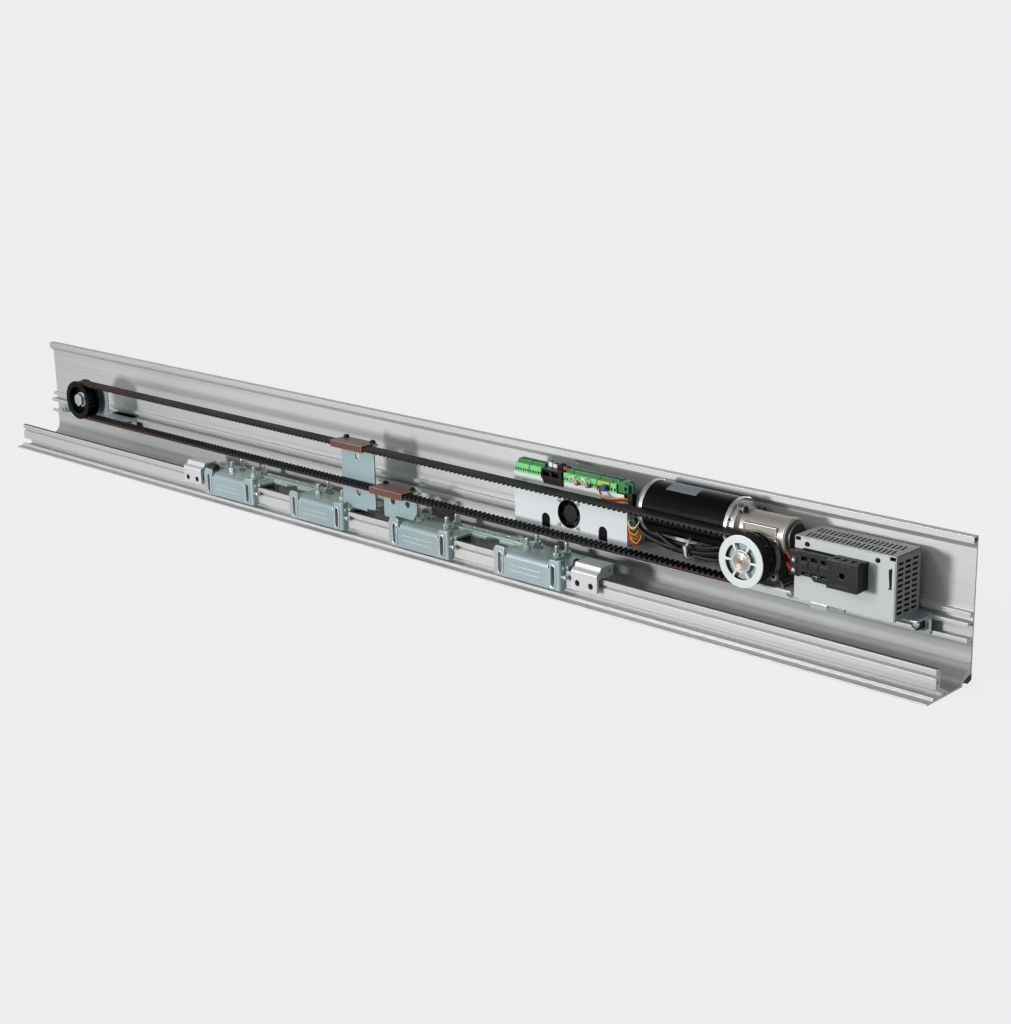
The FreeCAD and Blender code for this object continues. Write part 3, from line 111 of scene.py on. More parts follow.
class Graph:
    """Adds and joins the nodes of one material or effect."""

    def __init__(self, tree: bpy.types.NodeTree) -> None:
        """Work on one node tree."""
        self.tree = tree

    def fill(self, node: bpy.types.Node, inputs: dict) -> None:
        """Join or fill a node's inputs.

        Args:
            node: the node.
            inputs: values or output sockets by input name or number.
        """
        for name, value in inputs.items():
            if isinstance(value, Socket):
                self.tree.links.new(value, node.inputs[name])
            else:
                node.inputs[name].default_value = value

    def add(self, kind: str, inputs: dict | None = None, **settings: object) -> bpy.types.Node:
        """Add a node, set it, and join or fill its inputs.

        Args:
            kind: the node's type without its prefix.
            inputs: values or output sockets by input name or number.
            settings: the node's own properties.

        Returns:
            The node.
        """
        node = self.tree.nodes.new("ShaderNode" + kind)
        for name, value in settings.items():
            setattr(node, name, value)
        self.fill(node, inputs or {})
        return node

    def effect(self, kind: "Effect", **inputs: object) -> Socket:
        """Place a shared effect and give its value."""
        return self.add("Group", inputs, node_tree=kind.group()).outputs["Value"]

    def math(self, operation: str, *terms: object) -> Socket:
        """Join numbers with one sum, named as the Math node names it."""
        return self.add("Math", dict(enumerate(terms)), operation=operation).outputs[0]

    def times(self, first: object, second: object) -> Socket:
        """Multiply two numbers."""
        return self.math("MULTIPLY", first, second)

    def blend(self, share: object, first: object, second: object) -> Socket:
        """Mix two colours, the first at nought and the second at one."""
        return self.add("Mix", {0: share, 6: first, 7: second}, data_type="RGBA").outputs[2]

    def span(self, value: object, low: float, high: float, to_low: float = 0.0,
             to_high: float = 1.0) -> Socket:
        """Stretch a value from one span to another, where low gives to_low, and hold it at the ends."""
        fills = {0: value, 1: low, 2: high, 3: to_low, 4: to_high}
        return self.add("MapRange", fills, clamp=True).outputs[0]

    def noise(self, vector: object, scale: object, detail: float = 3.0, rough: float = 0.55) -> Socket:
        """Give a noise's value, by its scale, its octaves and how strong the fine ones are."""
        fills = {"Vector": vector, "Scale": scale, "Detail": detail, "Roughness": rough}
        return self.add("TexNoise", fills).outputs[0]


class Effect(Enum):
    """Surface effects that several finishes share, each one node group with its inputs."""

    CLOUD = (("Vector", "Vector"), ("Scale", "Float"))
    GRAIN = (("Vector", "Vector"), ("Stretch", "Vector"), ("Scale", "Float"))
    WEAR = (("Vector", "Vector"), ("Edge", "Float"), ("Amount", "Float"), ("Scale", "Float"))
    SCRATCH = (("Vector", "Vector"), ("Stretch", "Vector"), ("Scale", "Float"), ("Width", "Float"))
    DUST = (("Vector", "Vector"), ("Normal", "Vector"), ("Amount", "Float"), ("Scale", "Float"))
    RINGS = (("Vector", "Vector"), ("Scale", "Float"))

    def group(self) -> bpy.types.NodeTree:
        """Give the node group, made the first time that it is asked for.

        Returns:
            The group, with one output named Value.
        """
        title = "effect " + self.name.lower()
        if title in bpy.data.node_groups:
            return bpy.data.node_groups[title]
        tree = bpy.data.node_groups.new(title, "ShaderNodeTree")
        for name, kind in self.value:
            tree.interface.new_socket(name=name, in_out="INPUT", socket_type="NodeSocket" + kind)
        tree.interface.new_socket(name="Value", in_out="OUTPUT", socket_type="NodeSocketFloat")
        entry = tree.nodes.new("NodeGroupInput").outputs
        leave = tree.nodes.new("NodeGroupOutput")
        tree.links.new(self.body(Graph(tree), entry), leave.inputs["Value"])
        return tree

    def body(self, graph: Graph, entry: bpy.types.NodeOutputs) -> Socket:
        """Draw what is inside the group.

        Args:
            graph: the group's nodes.
            entry: the group's inputs.

        Returns:
            The socket that the group puts out.
        """
        at = entry["Vector"]
        if self is Effect.RINGS:
            radius = graph.add("VectorMath", {0: at}, operation="LENGTH").outputs["Value"]
            turns = graph.math("SINE", graph.times(radius, entry["Scale"]))
            return graph.math("ADD", graph.times(turns, 0.35), graph.noise(at, 900.0, 2.0))
        if self is Effect.CLOUD:
            return graph.span(graph.noise(at, entry["Scale"], 4.0), 0.36, 0.66)
        if self in (Effect.GRAIN, Effect.SCRATCH):
            drawn = graph.add("VectorMath", {0: at, 1: entry["Stretch"]}, operation="MULTIPLY").outputs[0]
            value = graph.noise(drawn, entry["Scale"], 3.0, 0.6)
            if self is Effect.GRAIN:
                return graph.span(value, 0.3, 0.7)
            off = graph.math("ABSOLUTE", graph.math("SUBTRACT", value, 0.5))
            line = graph.math("SUBTRACT", 1.0, graph.math("DIVIDE", off, entry["Width"]))
            patch = graph.span(graph.noise(at, 22.0, 2.0), 0.45, 0.62)
            return graph.times(graph.math("MAXIMUM", line, 0.0), patch)
        spots = graph.noise(at, entry["Scale"], 4.0, 0.65)
        if self is Effect.WEAR:
            rubbed = graph.times(entry["Edge"], graph.span(spots, 0.3, 0.68, 0.35, 1.0))
            reached = graph.math("SUBTRACT", rubbed, graph.math("SUBTRACT", 1.0, entry["Amount"]))
            return graph.span(reached, 0.0, 0.25)
        rise = graph.add("SeparateXYZ", {0: entry["Normal"]}).outputs[2]
        lying = graph.times(graph.span(rise, 0.2, 0.95), graph.span(spots, 0.35, 0.7))
        return graph.times(lying, entry["Amount"])


@dataclass(frozen=True)
class Ground:
    """What a finish mixes its colour and relief from."""

    graph: Graph
    at: Socket
    clouds: Socket
    grain: Socket


@dataclass(frozen=True)
class Texture:
    """Scales and shares that all finishes have in common."""

    cloud_share: float = 0.55
    grain_share: float = 0.45
    scratch_stretch: Triple = (3.0, 24.0, 60.0)
    scratch_scale: float = 14.0
    scratch_width: float = 0.006
    wear_scale: float = 140.0
    dust_scale: float = 60.0
    dust_colour: str = "a8a59c"
    dust_roughness: float = 0.2
    bump_height: float = 0.0002


TEXTURE = Texture()


@dataclass(frozen=True)
class Finish:
    """A surface: its colours, sheen, grain, worn edges and settled dust."""

    title: str
    colour: str
    second: str
    metallic: float = 0.0
    roughness: float = 0.5
    uneven: float = 0.08
    cloud: float = 28.0
    grain: float = 900.0
    stretch: Triple = (1.0, 1.0, 1.0)
    streak: float = 0.25
    bump: float = 0.12
    tints: tuple[tuple[str, float, float], ...] = ()
    worn: str = "c9cccb"
    wear: float = 0.0
    scratched: float = 0.0
    dust: float = 0.0
    specular: float = 0.5

    def material(self) -> bpy.types.Material:
        """Give the material, made the first time that it is asked for.

        Returns:
            The material of this finish.
        """
        if self.title in bpy.data.materials:
            return bpy.data.materials[self.title]
        material = bpy.data.materials.new(self.title)
        material.use_nodes = True
        graph = Graph(material.node_tree)
        at = graph.add("TexCoord").outputs["Object"]
        clouds = graph.effect(Effect.CLOUD, Vector=at, Scale=self.cloud)
        grain = graph.effect(Effect.GRAIN, Vector=at, Stretch=self.stretch, Scale=self.grain)
        ground = Ground(graph, at, clouds, grain)
        colour = self.shade(ground)
        sheen = graph.math("ADD", graph.times(clouds, TEXTURE.cloud_share),
                           graph.times(grain, TEXTURE.grain_share))
        rough = graph.span(sheen, 0.0, 1.0, self.roughness - self.uneven, self.roughness + self.uneven)
        if self.scratched:
            lines = graph.effect(Effect.SCRATCH, Vector=at, Stretch=TEXTURE.scratch_stretch,
                                 Scale=TEXTURE.scratch_scale, Width=TEXTURE.scratch_width)
            colour = graph.blend(graph.times(lines, self.scratched), colour, tone(self.worn))
        if self.wear:
            edge = graph.add("Attribute", attribute_name="edge").outputs["Fac"]
            rubbed = graph.effect(Effect.WEAR, Vector=at, Edge=edge, Amount=self.wear,
                                  Scale=TEXTURE.wear_scale)
            colour = graph.blend(rubbed, colour, tone(self.worn))
        if self.dust:
            normal = graph.add("NewGeometry").outputs["Normal"]
            lying = graph.effect(Effect.DUST, Vector=at, Normal=normal, Amount=self.dust,
                                 Scale=TEXTURE.dust_scale)
            colour = graph.blend(lying, colour, tone(TEXTURE.dust_colour))
            rough = graph.math("ADD", rough, graph.times(lying, TEXTURE.dust_roughness))
        fills = {"Strength": self.bump, "Distance": TEXTURE.bump_height, "Height": self.relief(ground)}
        graph.fill(material.node_tree.nodes["Principled BSDF"], {
            "Base Color": colour, "Roughness": rough, "Normal": graph.add("Bump", fills).outputs[0],
            "Metallic": self.metallic, "Specular IOR Level": self.specular})
        return material

    def shade(self, on: Ground) -> Socket:
        """Mix the colour before wear and dust.

        Args:
            on: what it is mixed from.

        Returns:
            The colour's socket.
        """
        graph = on.graph
        colour = graph.blend(on.clouds, tone(self.colour), tone(self.second))
        colour = graph.blend(graph.times(on.grain, self.streak), colour, tone(self.second))
        for code, scale, amount in self.tints:
            patch = graph.effect(Effect.CLOUD, Vector=on.at, Scale=scale)
            colour = graph.blend(graph.times(patch, amount), colour, tone(code))
        return colour

    def relief(self, on: Ground) -> Socket:
        """Give the height that the bump follows, the grain unless a finish has its own."""
        return on.grain


@dataclass(frozen=True)
class TurnedFinish(Finish):
    """Metal faced on a lathe, with fine rings about a shaft."""

    centre: Triple = (0.0, 0.0, 0.0)
    rings: float = 6000.0

    def relief(self, on: Ground) -> Socket:
        """Give the rings' height about the shaft.

        Args:
            on: what it is mixed from.

        Returns:
            The height's socket.
        """
        middle = TO_PART @ Vector(self.centre)
        fills = {"Vector": on.at, "Location": (-middle.x, 0.0, -middle.z), "Scale": (1.0, 0.0, 1.0)}
        turned = on.graph.add("Mapping", fills).outputs[0]
        return on.graph.effect(Effect.RINGS, Vector=turned, Scale=self.rings)


@dataclass(frozen=True)
class DrawnFinish(Finish):
    """Extruded metal with faint die lines along its length."""

    lines: float = 0.3
    line_colour: str = "838685"
    line_scale: Triple = (0.5, 130.0, 130.0)

    def shade(self, on: Ground) -> Socket:
        """Mix the metal's colour and its die lines.

        Args:
            on: what it is mixed from.

        Returns:
            The colour's socket.
        """
        graph = on.graph
        drawn = graph.add("Mapping", {"Vector": on.at, "Scale": self.line_scale}).outputs[0]
        mark = graph.span(graph.noise(drawn, 1.0, 2.0), 0.55, 0.66)
        return graph.blend(graph.times(mark, self.lines), super().shade(on), tone(self.line_colour))


@dataclass(frozen=True)
class BeltFinish(Finish):
    """Belt rubber, with the fabric's red-brown line where the teeth meet the back."""

    fabric: str = "6d3a28"

    def shade(self, on: Ground) -> Socket:
        """Mix rubber and fabric by the depth under the pitch line, more near both pulleys.

        Args:
            on: what it is mixed from.

        Returns:
            The colour's socket.
        """
        graph = on.graph
        rubber = graph.blend(on.clouds, tone(self.colour), tone(self.second))
        depth = graph.add("Attribute", attribute_name="depth").outputs["Fac"]
        line = graph.times(graph.span(depth, -0.1, 0.35), graph.span(depth, 0.75, 1.2, 1.0, 0.0))
        along = graph.add("SeparateXYZ", {0: on.at}).outputs[0]
        idler_end = graph.span(along, -0.62, -0.2, 1.0, 0.0)
        ends = graph.math("ADD", idler_end, graph.span(along, 0.42, 0.56))
        shown = graph.times(line, graph.math("ADD", graph.times(ends, 0.75), 0.08))
        stained = graph.times(idler_end, graph.times(on.grain, 0.12))
        return graph.blend(graph.math("MAXIMUM", shown, stained), rubber, tone(self.fabric))


@dataclass(frozen=True)
class BoardFinish(Finish):
    """Circuit board lacquer over fine copper tracks and pads."""

    track: str = "3f7d4c"
    pad: str = "b9b59c"
    cells: float = 330.0

    def shade(self, on: Ground) -> Socket:
        """Mix lacquer, tracks and pads.

        Args:
            on: what it is mixed from.

        Returns:
            The colour's socket.
        """
        graph = on.graph
        lacquer = graph.blend(on.clouds, tone(self.colour), tone(self.second))
        settings = {"feature": "F1", "distance": "CHEBYCHEV"}
        cell = graph.add("TexVoronoi", {"Vector": on.at, "Scale": self.cells}, **settings).outputs[0]
        tracks = graph.math("LESS_THAN", graph.math("FRACT", graph.times(cell, 3.0)), 0.22)
        traced = graph.blend(graph.times(tracks, 0.35), lacquer, tone(self.track))
        return graph.blend(graph.math("LESS_THAN", cell, 0.13), traced, tone(self.pad))


ALONG = (0.02, 1.0, 1.0)
EVEN = (1.0, 1.0, 1.0)
EXTRUDED = DrawnFinish("extruded aluminium", "c2c5c4", "b4b7b6", 0.42, 0.48, 0.07, 9.0, 1400.0, ALONG, 0.5,
                       0.10, (("c8cac9", 4.0, 0.5), ("b8b6ae", 15.0, 0.2)), "dfe0df", 0.6, 0.2, 0.08)
SAWN = Finish("sawn aluminium", "cfd1d0", "aeb1b0", 0.85, 0.38, 0.1, 60.0, 700.0, (1.0, 1.0, 0.08), 0.6, 0.3)
STOP_ALLOY = Finish("stop aluminium", "ced0d0", "c0c2c2", 0.25, 0.4, 0.06, 30.0, 1500.0, ALONG, 0.4, 0.12,
                    (), "eceded", 0.8, 0.1)
ZINC = Finish("blue zinc", "a4bac1", "b5c7ca", 0.45, 0.38, 0.09, 34.0, 500.0, (1.0, 1.0, 0.25), 0.4, 0.1,
              (("8fb1ab", 17.0, 0.5), ("b7aeb2", 46.0, 0.28), ("7d9096", 9.0, 0.4)), "e3eaea", 0.8, 0.35,
              0.06)
TEAL_ZINC = Finish("teal zinc", "8fb2ab", "a6c4bd", 0.55, 0.34, 0.09, 30.0, 420.0, EVEN, 0.4, 0.1,
                   (("6f958f", 14.0, 0.6), ("b8a9b0", 52.0, 0.35), ("b9c4b6", 24.0, 0.4)), "e6eeec", 0.8, 0.3,
                   0.1)
BRIGHT_ZINC = Finish("bright zinc", "c2cccc", "aab8b9", 0.7, 0.28, 0.08, 60.0, 900.0, EVEN, 0.3, 0.08,
                     (("9cc0b8", 70.0, 0.3),), "f2f5f5", 0.8)
STRIP = Finish("running strip", "242524", "1b1c1b", 0.0, 0.5, 0.1, 40.0, 900.0, ALONG, 0.3, 0.1,
               (("9a9a95", 210.0, 0.08),), dust=0.1)
SEAL = Finish("seal rubber", "191a1b", "232425", 0.0, 0.62, 0.08, 40.0, 800.0, ALONG, 0.3, 0.2)
BELT = BeltFinish("belt rubber", "0c0d0c", "141514", 0.0, 0.62, 0.1, 50.0, 1300.0, (1.0, 0.3, 1.0), 0.3, 0.2,
                  specular=0.25)
BLACK_MOULD = Finish("black moulding", "0c0d0e", "141516", 0.0, 0.36, 0.08, 40.0, 1400.0, EVEN, 0.2, 0.06,
                     (), "242527", 0.6, 0.0, 0.04, specular=0.3)
GLOSS_BLACK = Finish("gloss black", "030304", "050506", 0.0, 0.22, 0.05, 20.0, 1200.0, (0.05, 1.0, 1.0), 0.2,
                     0.04, (), "2b2a28", 0.3, 0.1, specular=0.12)
CAP_GREY = Finish("motor cap grey", "767b7d", "696d6f", 0.4, 0.45, 0.08, 40.0, 900.0, EVEN, 0.2, 0.12,
                  (), "8a8b8c", 0.6)
PALE_STEEL = Finish("pale steel", "ccd2d2", "d6dbdb", 0.25, 0.38, 0.07, 40.0, 900.0, EVEN, 0.3, 0.1,
                    (("b4c2c0", 30.0, 0.3),), "f0f2f2", 0.8, 0.15)
TURNED = TurnedFinish("turned steel", "b3aaa2", "9d958e", 0.9, 0.3, 0.06, 50.0, 900.0, EVEN, 0.3, 0.5,
                      (), "e6e3e0", 0.8, centre=(AT.drive_x, 0.0, AT.shaft_level))
WEB_GREEN = Finish("web grey green", "7d8f8c", "93a3a0", 0.3, 0.4, 0.08, 60.0, 700.0, EVEN, 0.3, 0.12)
CAST_LIGHT = Finish("cast barrel", "b5b1a9", "a39f97", 0.55, 0.36, 0.08, 45.0, 700.0, EVEN, 0.3, 0.22,
                    (("8a837d", 20.0, 0.3),), "dad6d2", 0.8, 0.15, 0.12)
CAST_DARK = Finish("cast case", "4c4743", "3c3835", 0.5, 0.44, 0.09, 45.0, 600.0, EVEN, 0.3, 0.3,
                   (("625c57", 24.0, 0.4),), "a39e99", 0.8, 0.1, 0.12)
SILVER = Finish("silver ring", "cfd1d1", "bdc0c0", 0.9, 0.25, 0.06, 60.0, 1100.0, (1.0, 0.1, 0.1), 0.3, 0.1,
                (), "f4f4f4", 0.8)
WHITE_STRIP = Finish("pale strip", "d3d8d7", "c2c9c8", 0.3, 0.4, 0.07, 30.0, 900.0, ALONG, 0.4, 0.1,
                     (("a9b8b4", 26.0, 0.3),), "e9edec", 0.7)
BARE_LABEL = Finish("bare label", "5c666e", "747e86", 0.0, 0.5, 0.06, 60.0, 900.0, EVEN, 0.3, 0.05)
PANEL = Finish("panel paint", "d0d4d6", "c8cccd", 0.0, 0.42, 0.05, 14.0, 1600.0, EVEN, 0.25, 0.06,
               (), "8f9294", 0.35, 0.08, 0.05)
# Grey cover sheet, darker than the supply's front: partly its own grey, partly painted shade for the weaker
# light on its top and ends
COVER_GREY_AND_SHADE = Finish("cover grey", "a0a4a2", "959997", 0.12, 0.42, 0.06, 20.0, 1200.0, EVEN, 0.3, 0.08,
               (), "c3c5c5", 0.7, 0.1, 0.12)
# Near-black finish for boxes and discs set into hollows, recesses and openings: it paints the shade inside
# them
PAINTED_SHADE = Finish("dark inside", "050505", "0b0b0b", 0.0, 0.7, 0.08, 60.0, 600.0, specular=0.1)
SUPPLY_PAINT = Finish("supply paint", "bfc4c3", "b5baba", 0.05, 0.42, 0.05, 14.0, 1600.0, EVEN, 0.25, 0.06,
                      (), "8f9294", 0.3, 0.1, 0.05)
BOARD = BoardFinish("board lacquer", "1c5a2c", "174d26", 0.0, 0.34, 0.05, 70.0)
TERMINAL = Finish("terminal green", "74cc7c", "68bf71", 0.0, 0.38, 0.05, 80.0, 1300.0, EVEN, 0.3, 0.05,
                  (), "a5dba0", 0.7)
TERMINAL_DARK = Finish("terminal dark green", "1f7a3a", "186630", 0.0, 0.4, 0.05, 80.0, 1300.0, EVEN,
                       0.3, 0.05, (), "4f9f63", 0.6)
LIME = Finish("lime plug", "a9c95a", "98b94c", 0.0, 0.4, 0.05, 80.0)
BLUE_PLUG = Finish("blue plug", "1f4f9a", "1a4384", 0.0, 0.38, 0.05, 80.0)
RED_PLUG = Finish("red plug", "b8321f", "a02a1b", 0.0, 0.4, 0.05, 80.0)
WHITE_PLUG = Finish("white plug", "e2e3e0", "d3d4d1", 0.0, 0.4, 0.05, 80.0)
CHARCOAL = Finish("charcoal moulding", "131517", "0f1112", 0.0, 0.42, 0.06, 40.0, 1100.0, EVEN, 0.2, 0.1,
                  (), "46494c", 0.5, 0.0, 0.03, specular=0.28)
COPPER = Finish("copper brown", "62382b", "523026", 0.35, 0.42, 0.08, 40.0, 600.0, ALONG, 0.4, 0.15,
                (("8f7568", 30.0, 0.35),), "c89a80", 0.7, 0.2, 0.2)
BLACK_STEEL = Finish("black steel", "0c0c0d", "121213", 0.0, 0.45, 0.08, 60.0, 900.0, EVEN, 0.3, 0.1,
                     specular=0.2)
ROLLER = Finish("roller white", "dedfdb", "d0d1cd", 0.0, 0.38, 0.05, 60.0)
CABLE = Finish("cable sheath", "0c0d0d", "151616", 0.0, 0.55, 0.07, 50.0, 700.0, EVEN, 0.2, 0.1,
               specular=0.25)
TIE = Finish("light tie", "c9ccca", "b7bab8", 0.0, 0.42, 0.06, 60.0)
RED_WIRE = Finish("red wire", "c8202a", "b01a24", 0.0, 0.34, 0.05, 80.0)
WHITE_WIRE = Finish("white wire", "ebe6dc", "dcd6ca", 0.0, 0.4, 0.05, 80.0)
YELLOW_WIRE = Finish("yellow wire", "e2b832", "cfa528", 0.0, 0.38, 0.05, 80.0)
ORANGE_WIRE = Finish("orange wire", "d9692a", "c45c22", 0.0, 0.38, 0.05, 80.0)
WHITE_BALL = Finish("plated ball", "d8d6d0", "c9c6bf", 0.9, 0.2, 0.05, 80.0)


# Shapes, drawn in profile millimetres
MERGE = 0.001
FACET_MERGE = 0.002
FACET_ANGLE = math.radians(0.6)
SHARP_ANGLE = math.radians(42)
CORNER_ANGLE = math.radians(34)


def fresh() -> Mesh:
    """Start a mesh that remembers which of its faces are rounded edges."""
    mesh = bmesh.new()
    mesh.faces.layers.float.new("edge")
    return mesh


def only_verts(items: Sequence[object]) -> list[bmesh.types.BMVert]:
    """Keep the points among mesh elements."""
    return [item for item in items if isinstance(item, bmesh.types.BMVert)]


def outward(mesh: Mesh) -> Mesh:
    """Turn all faces outwards."""
    bmesh.ops.recalc_face_normals(mesh, faces=mesh.faces[:])
    return mesh


def soften(mesh: Mesh, width: float) -> Mesh:
    """Round the sharp edges and mark the rounded faces for wear.

    Args:
        mesh: what is rounded.
        width: how far each edge is cut back, or nought to leave them sharp.

    Returns:
        The same mesh.
    """
    if not width:
        return mesh
    sharp = [edge for edge in mesh.edges
             if len(edge.link_faces) == 2 and edge.calc_face_angle(0.0) > CORNER_ANGLE]
    made = bmesh.ops.bevel(mesh, geom=sharp, offset=width, offset_type="OFFSET", segments=2,
                           profile=0.5, affect="EDGES", material=-1, clamp_overlap=False)
    layer = mesh.faces.layers.float["edge"]
    for face in made["faces"]:
        face[layer] = 1.0
    return mesh


def block(x: Pair, y: Pair, z: Pair, soft: float = 0.4) -> Mesh:
    """Make a box with rounded edges.

    Args:
        x: its span along the profile.
        y: its span from front to back.
        z: its span upwards.
        soft: the rounding of its edges.

    Returns:
        The box.
    """
    mesh = fresh()
    spans = (x, y, z)
    middle = Matrix.Translation([sum(span) / 2 for span in spans])
    size = Matrix.Diagonal([span[1] - span[0] for span in spans] + [1.0])
    bmesh.ops.create_cube(mesh, size=1.0, matrix=middle @ size)
    return soften(mesh, soft)


def rod(plane: Plane, start: Triple, radius: float, length: float, soft: float = 0.4,
        sides: int = 32) -> Mesh:
    """Make a round or many-sided bar.

    Args:
        plane: the plane of its round section.
        start: the middle of its first end.
        radius: its outer radius.
        length: its length along the third axis.
        soft: the rounding of its rims.
        sides: its facets.

    Returns:
        The bar.
    """
    mesh = fresh()
    place = Matrix.Translation(start) @ plane.matrix() @ Matrix.Translation((0.0, 0.0, length / 2))
    bmesh.ops.create_cone(mesh, cap_ends=True, cap_tris=False, segments=sides, radius1=radius,
                          radius2=radius, depth=length, matrix=place)
    outward(mesh)
    return soften(mesh, soft)


def lathe(plane: Plane, centre: Triple, points: Sequence[Pair], soft: float = 0.3, steps: int = 64) -> Mesh:
    """Turn a line of points about an axis.

    Args:
        plane: the plane that the axis stands on.
        centre: a point of the axis.
        points: places along the axis and their radii.
        soft: the rounding of the rims.
        steps: the facets of a full turn.

    Returns:
        The turned piece.
    """
    mesh = fresh()
    line = [mesh.verts.new((radius, 0.0, along)) for along, radius in points]
    edges = [mesh.edges.new(ends) for ends in zip(line, line[1:])]
    bmesh.ops.spin(mesh, geom=line + edges, cent=(0, 0, 0), axis=(0, 0, 1), dvec=(0, 0, 0),
                   angle=2 * math.pi, steps=steps, use_merge=True, use_duplicate=False)
    bmesh.ops.remove_doubles(mesh, verts=mesh.verts[:], dist=MERGE)
    bmesh.ops.transform(mesh, matrix=Matrix.Translation(centre) @ plane.matrix(), verts=mesh.verts[:])
    outward(mesh)
    return soften(mesh, soft)


def ring(plane: Plane, start: Triple, radii: Pair, length: float, soft: float = 0.3, steps: int = 64) -> Mesh:
    """Make a flat ring or a sleeve.

    Args:
        plane: the plane of its round section.
        start: the middle of its first face.
        radii: its inner and outer radius.
        length: its length along the third axis.
        soft: the rounding of its rims.
        steps: the facets of a full turn.

    Returns:
        The ring.
    """
    inner, outer = radii
    points = [(0.0, inner), (0.0, outer), (length, outer), (length, inner), (0.0, inner)]
    return lathe(plane, start, points, soft, steps)


@dataclass(frozen=True)
class Hole:
    """An opening in a plate: round, long or square, maybe slanted, in the plate's own plane."""

    u: float
    v: float
    radius: float
    reach: float = 0.0
    slant: float = 0.0
    sides: int = 16
    wide: float = 1.0

    def cut(self, mesh: Mesh, level: float) -> None:
        """Draw the opening's rim.

        Args:
            mesh: the plate's outline.
            level: its place along the plate's third axis.
        """
        start = Matrix.Rotation(math.pi / self.sides, 4, "Z")
        rim = bmesh.ops.create_circle(mesh, cap_ends=False, radius=self.radius, segments=self.sides,
                                      matrix=start)["verts"]
        for vert in rim:
            vert.co.x *= self.wide
            vert.co.y += math.copysign(self.reach, vert.co.y)
        slanted = Matrix.Rotation(math.radians(self.slant), 4, "Z")
        place = Matrix.Translation((self.u, self.v, level)) @ slanted
        bmesh.ops.transform(mesh, matrix=place, verts=rim)


def window(u: Pair, v: Pair) -> Hole:
    """Make a rectangular opening from its two spans."""
    half = math.sqrt(2.0)
    high = (v[1] - v[0]) / 2
    return Hole(sum(u) / 2, sum(v) / 2, high * half, 0.0, 0.0, 4, (u[1] - u[0]) / (v[1] - v[0]))


def plate(plane: Plane, outline: Sequence[Pair], span: Pair, holes: Sequence[Hole] = (),
          soft: float = 0.3) -> Mesh:
    """Make a flat piece from its outline and openings.

    Args:
        plane: the plane that the outline is drawn on.
        outline: its corners.
        span: its two faces along the third axis.
        holes: its openings.
        soft: the rounding of its edges.

    Returns:
        The piece.
    """
    mesh = fresh()
    corners = [mesh.verts.new((u, v, span[0])) for u, v in outline]
    for ends in zip(corners, corners[1:] + corners[:1]):
        mesh.edges.new(ends)
    for hole in holes:
        hole.cut(mesh, span[0])
    bmesh.ops.triangle_fill(mesh, use_beauty=True, use_dissolve=False, edges=mesh.edges[:])
    bmesh.ops.dissolve_limit(mesh, angle_limit=0.01, verts=mesh.verts[:], edges=mesh.edges[:])
    grown = bmesh.ops.extrude_face_region(mesh, geom=mesh.faces[:])
    bmesh.ops.translate(mesh, vec=(0.0, 0.0, span[1] - span[0]), verts=only_verts(grown["geom"]))
    bmesh.ops.transform(mesh, matrix=plane.matrix(), verts=mesh.verts[:])
    outward(mesh)
    return soften(mesh, soft)


def rectangle(u: Pair, v: Pair) -> list[Pair]:
    """Give the corners of a rectangle."""
    return [(u[0], v[0]), (u[1], v[0]), (u[1], v[1]), (u[0], v[1])]


def arc(u: float, v: float, radius: float, start: float, end: float, steps: int = 8) -> list[Pair]:
    """Give points of an arc about (u, v), from its first to its last angle in degrees."""
    angles = [math.radians(start + (end - start) * step / steps) for step in range(steps + 1)]
    return [(u + radius * math.cos(angle), v + radius * math.sin(angle)) for angle in angles]


@dataclass(frozen=True)
class Fold:
    """A square bend of a sheet: where it starts, which way the sheet runs, and which way it turns."""

    origin: Triple
    along: Triple
    towards: Triple
    radius: float
    steps: int = 6

    def bend(self, mesh: Mesh, within: Callable[[Vector], bool] = lambda spot: True) -> None:
        """Bend everything beyond the start.

        Args:
            mesh: the flat sheet.
            within: says which points take part.
        """
        origin, along, towards = Vector(self.origin), Vector(self.along), Vector(self.towards)
        length = math.pi / 2 * self.radius
        for step in range(self.steps + 1):
            bmesh.ops.bisect_plane(mesh, geom=mesh.verts[:] + mesh.edges[:] + mesh.faces[:],
                                   plane_co=origin + along * (length * step / self.steps), plane_no=along)
        for vert in mesh.verts:
            beyond = (vert.co - origin).dot(along)
            if beyond <= 0.0 or not within(vert.co):
                continue
            turned = min(beyond, length) / self.radius
            side = (vert.co - origin).dot(towards)
            rest = beyond - min(beyond, length)
            across = vert.co - origin - along * beyond - towards * side
            swing = along * math.sin(turned) - towards * math.cos(turned)
            ahead = along * math.cos(turned) + towards * math.sin(turned)
            vert.co = origin + towards * self.radius + swing * (self.radius - side) + ahead * rest + across


def moved(mesh: Mesh, x: float = 0.0, y: float = 0.0, z: float = 0.0) -> Mesh:
    """Copy a mesh to another place.

    Args:
        mesh: what is copied.
        x: the shift along the profile.
        y: the shift towards the wall.
        z: the shift upwards.

    Returns:
        The copy.
    """
    copy = mesh.copy()
    bmesh.ops.translate(copy, vec=(x, y, z), verts=copy.verts[:])
    return copy


def copy_of(node: str, soft: float = 0.3) -> Mesh:
    """Take a solid's shape as a base for a finished piece.

    Args:
        node: the solid's name.
        soft: the rounding of its edges.

    Returns:
        The shape in profile millimetres, with its facets joined.
    """
    mesh = bmesh.new()
    mesh.from_mesh(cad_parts[node].data)
    mesh.faces.layers.float.new("edge")
    bmesh.ops.transform(mesh, matrix=TO_PART.inverted(), verts=mesh.verts[:])
    bmesh.ops.remove_doubles(mesh, verts=mesh.verts[:], dist=FACET_MERGE)
    bmesh.ops.dissolve_limit(mesh, angle_limit=FACET_ANGLE, verts=mesh.verts[:], edges=mesh.edges[:])
    return soften(mesh, soft)


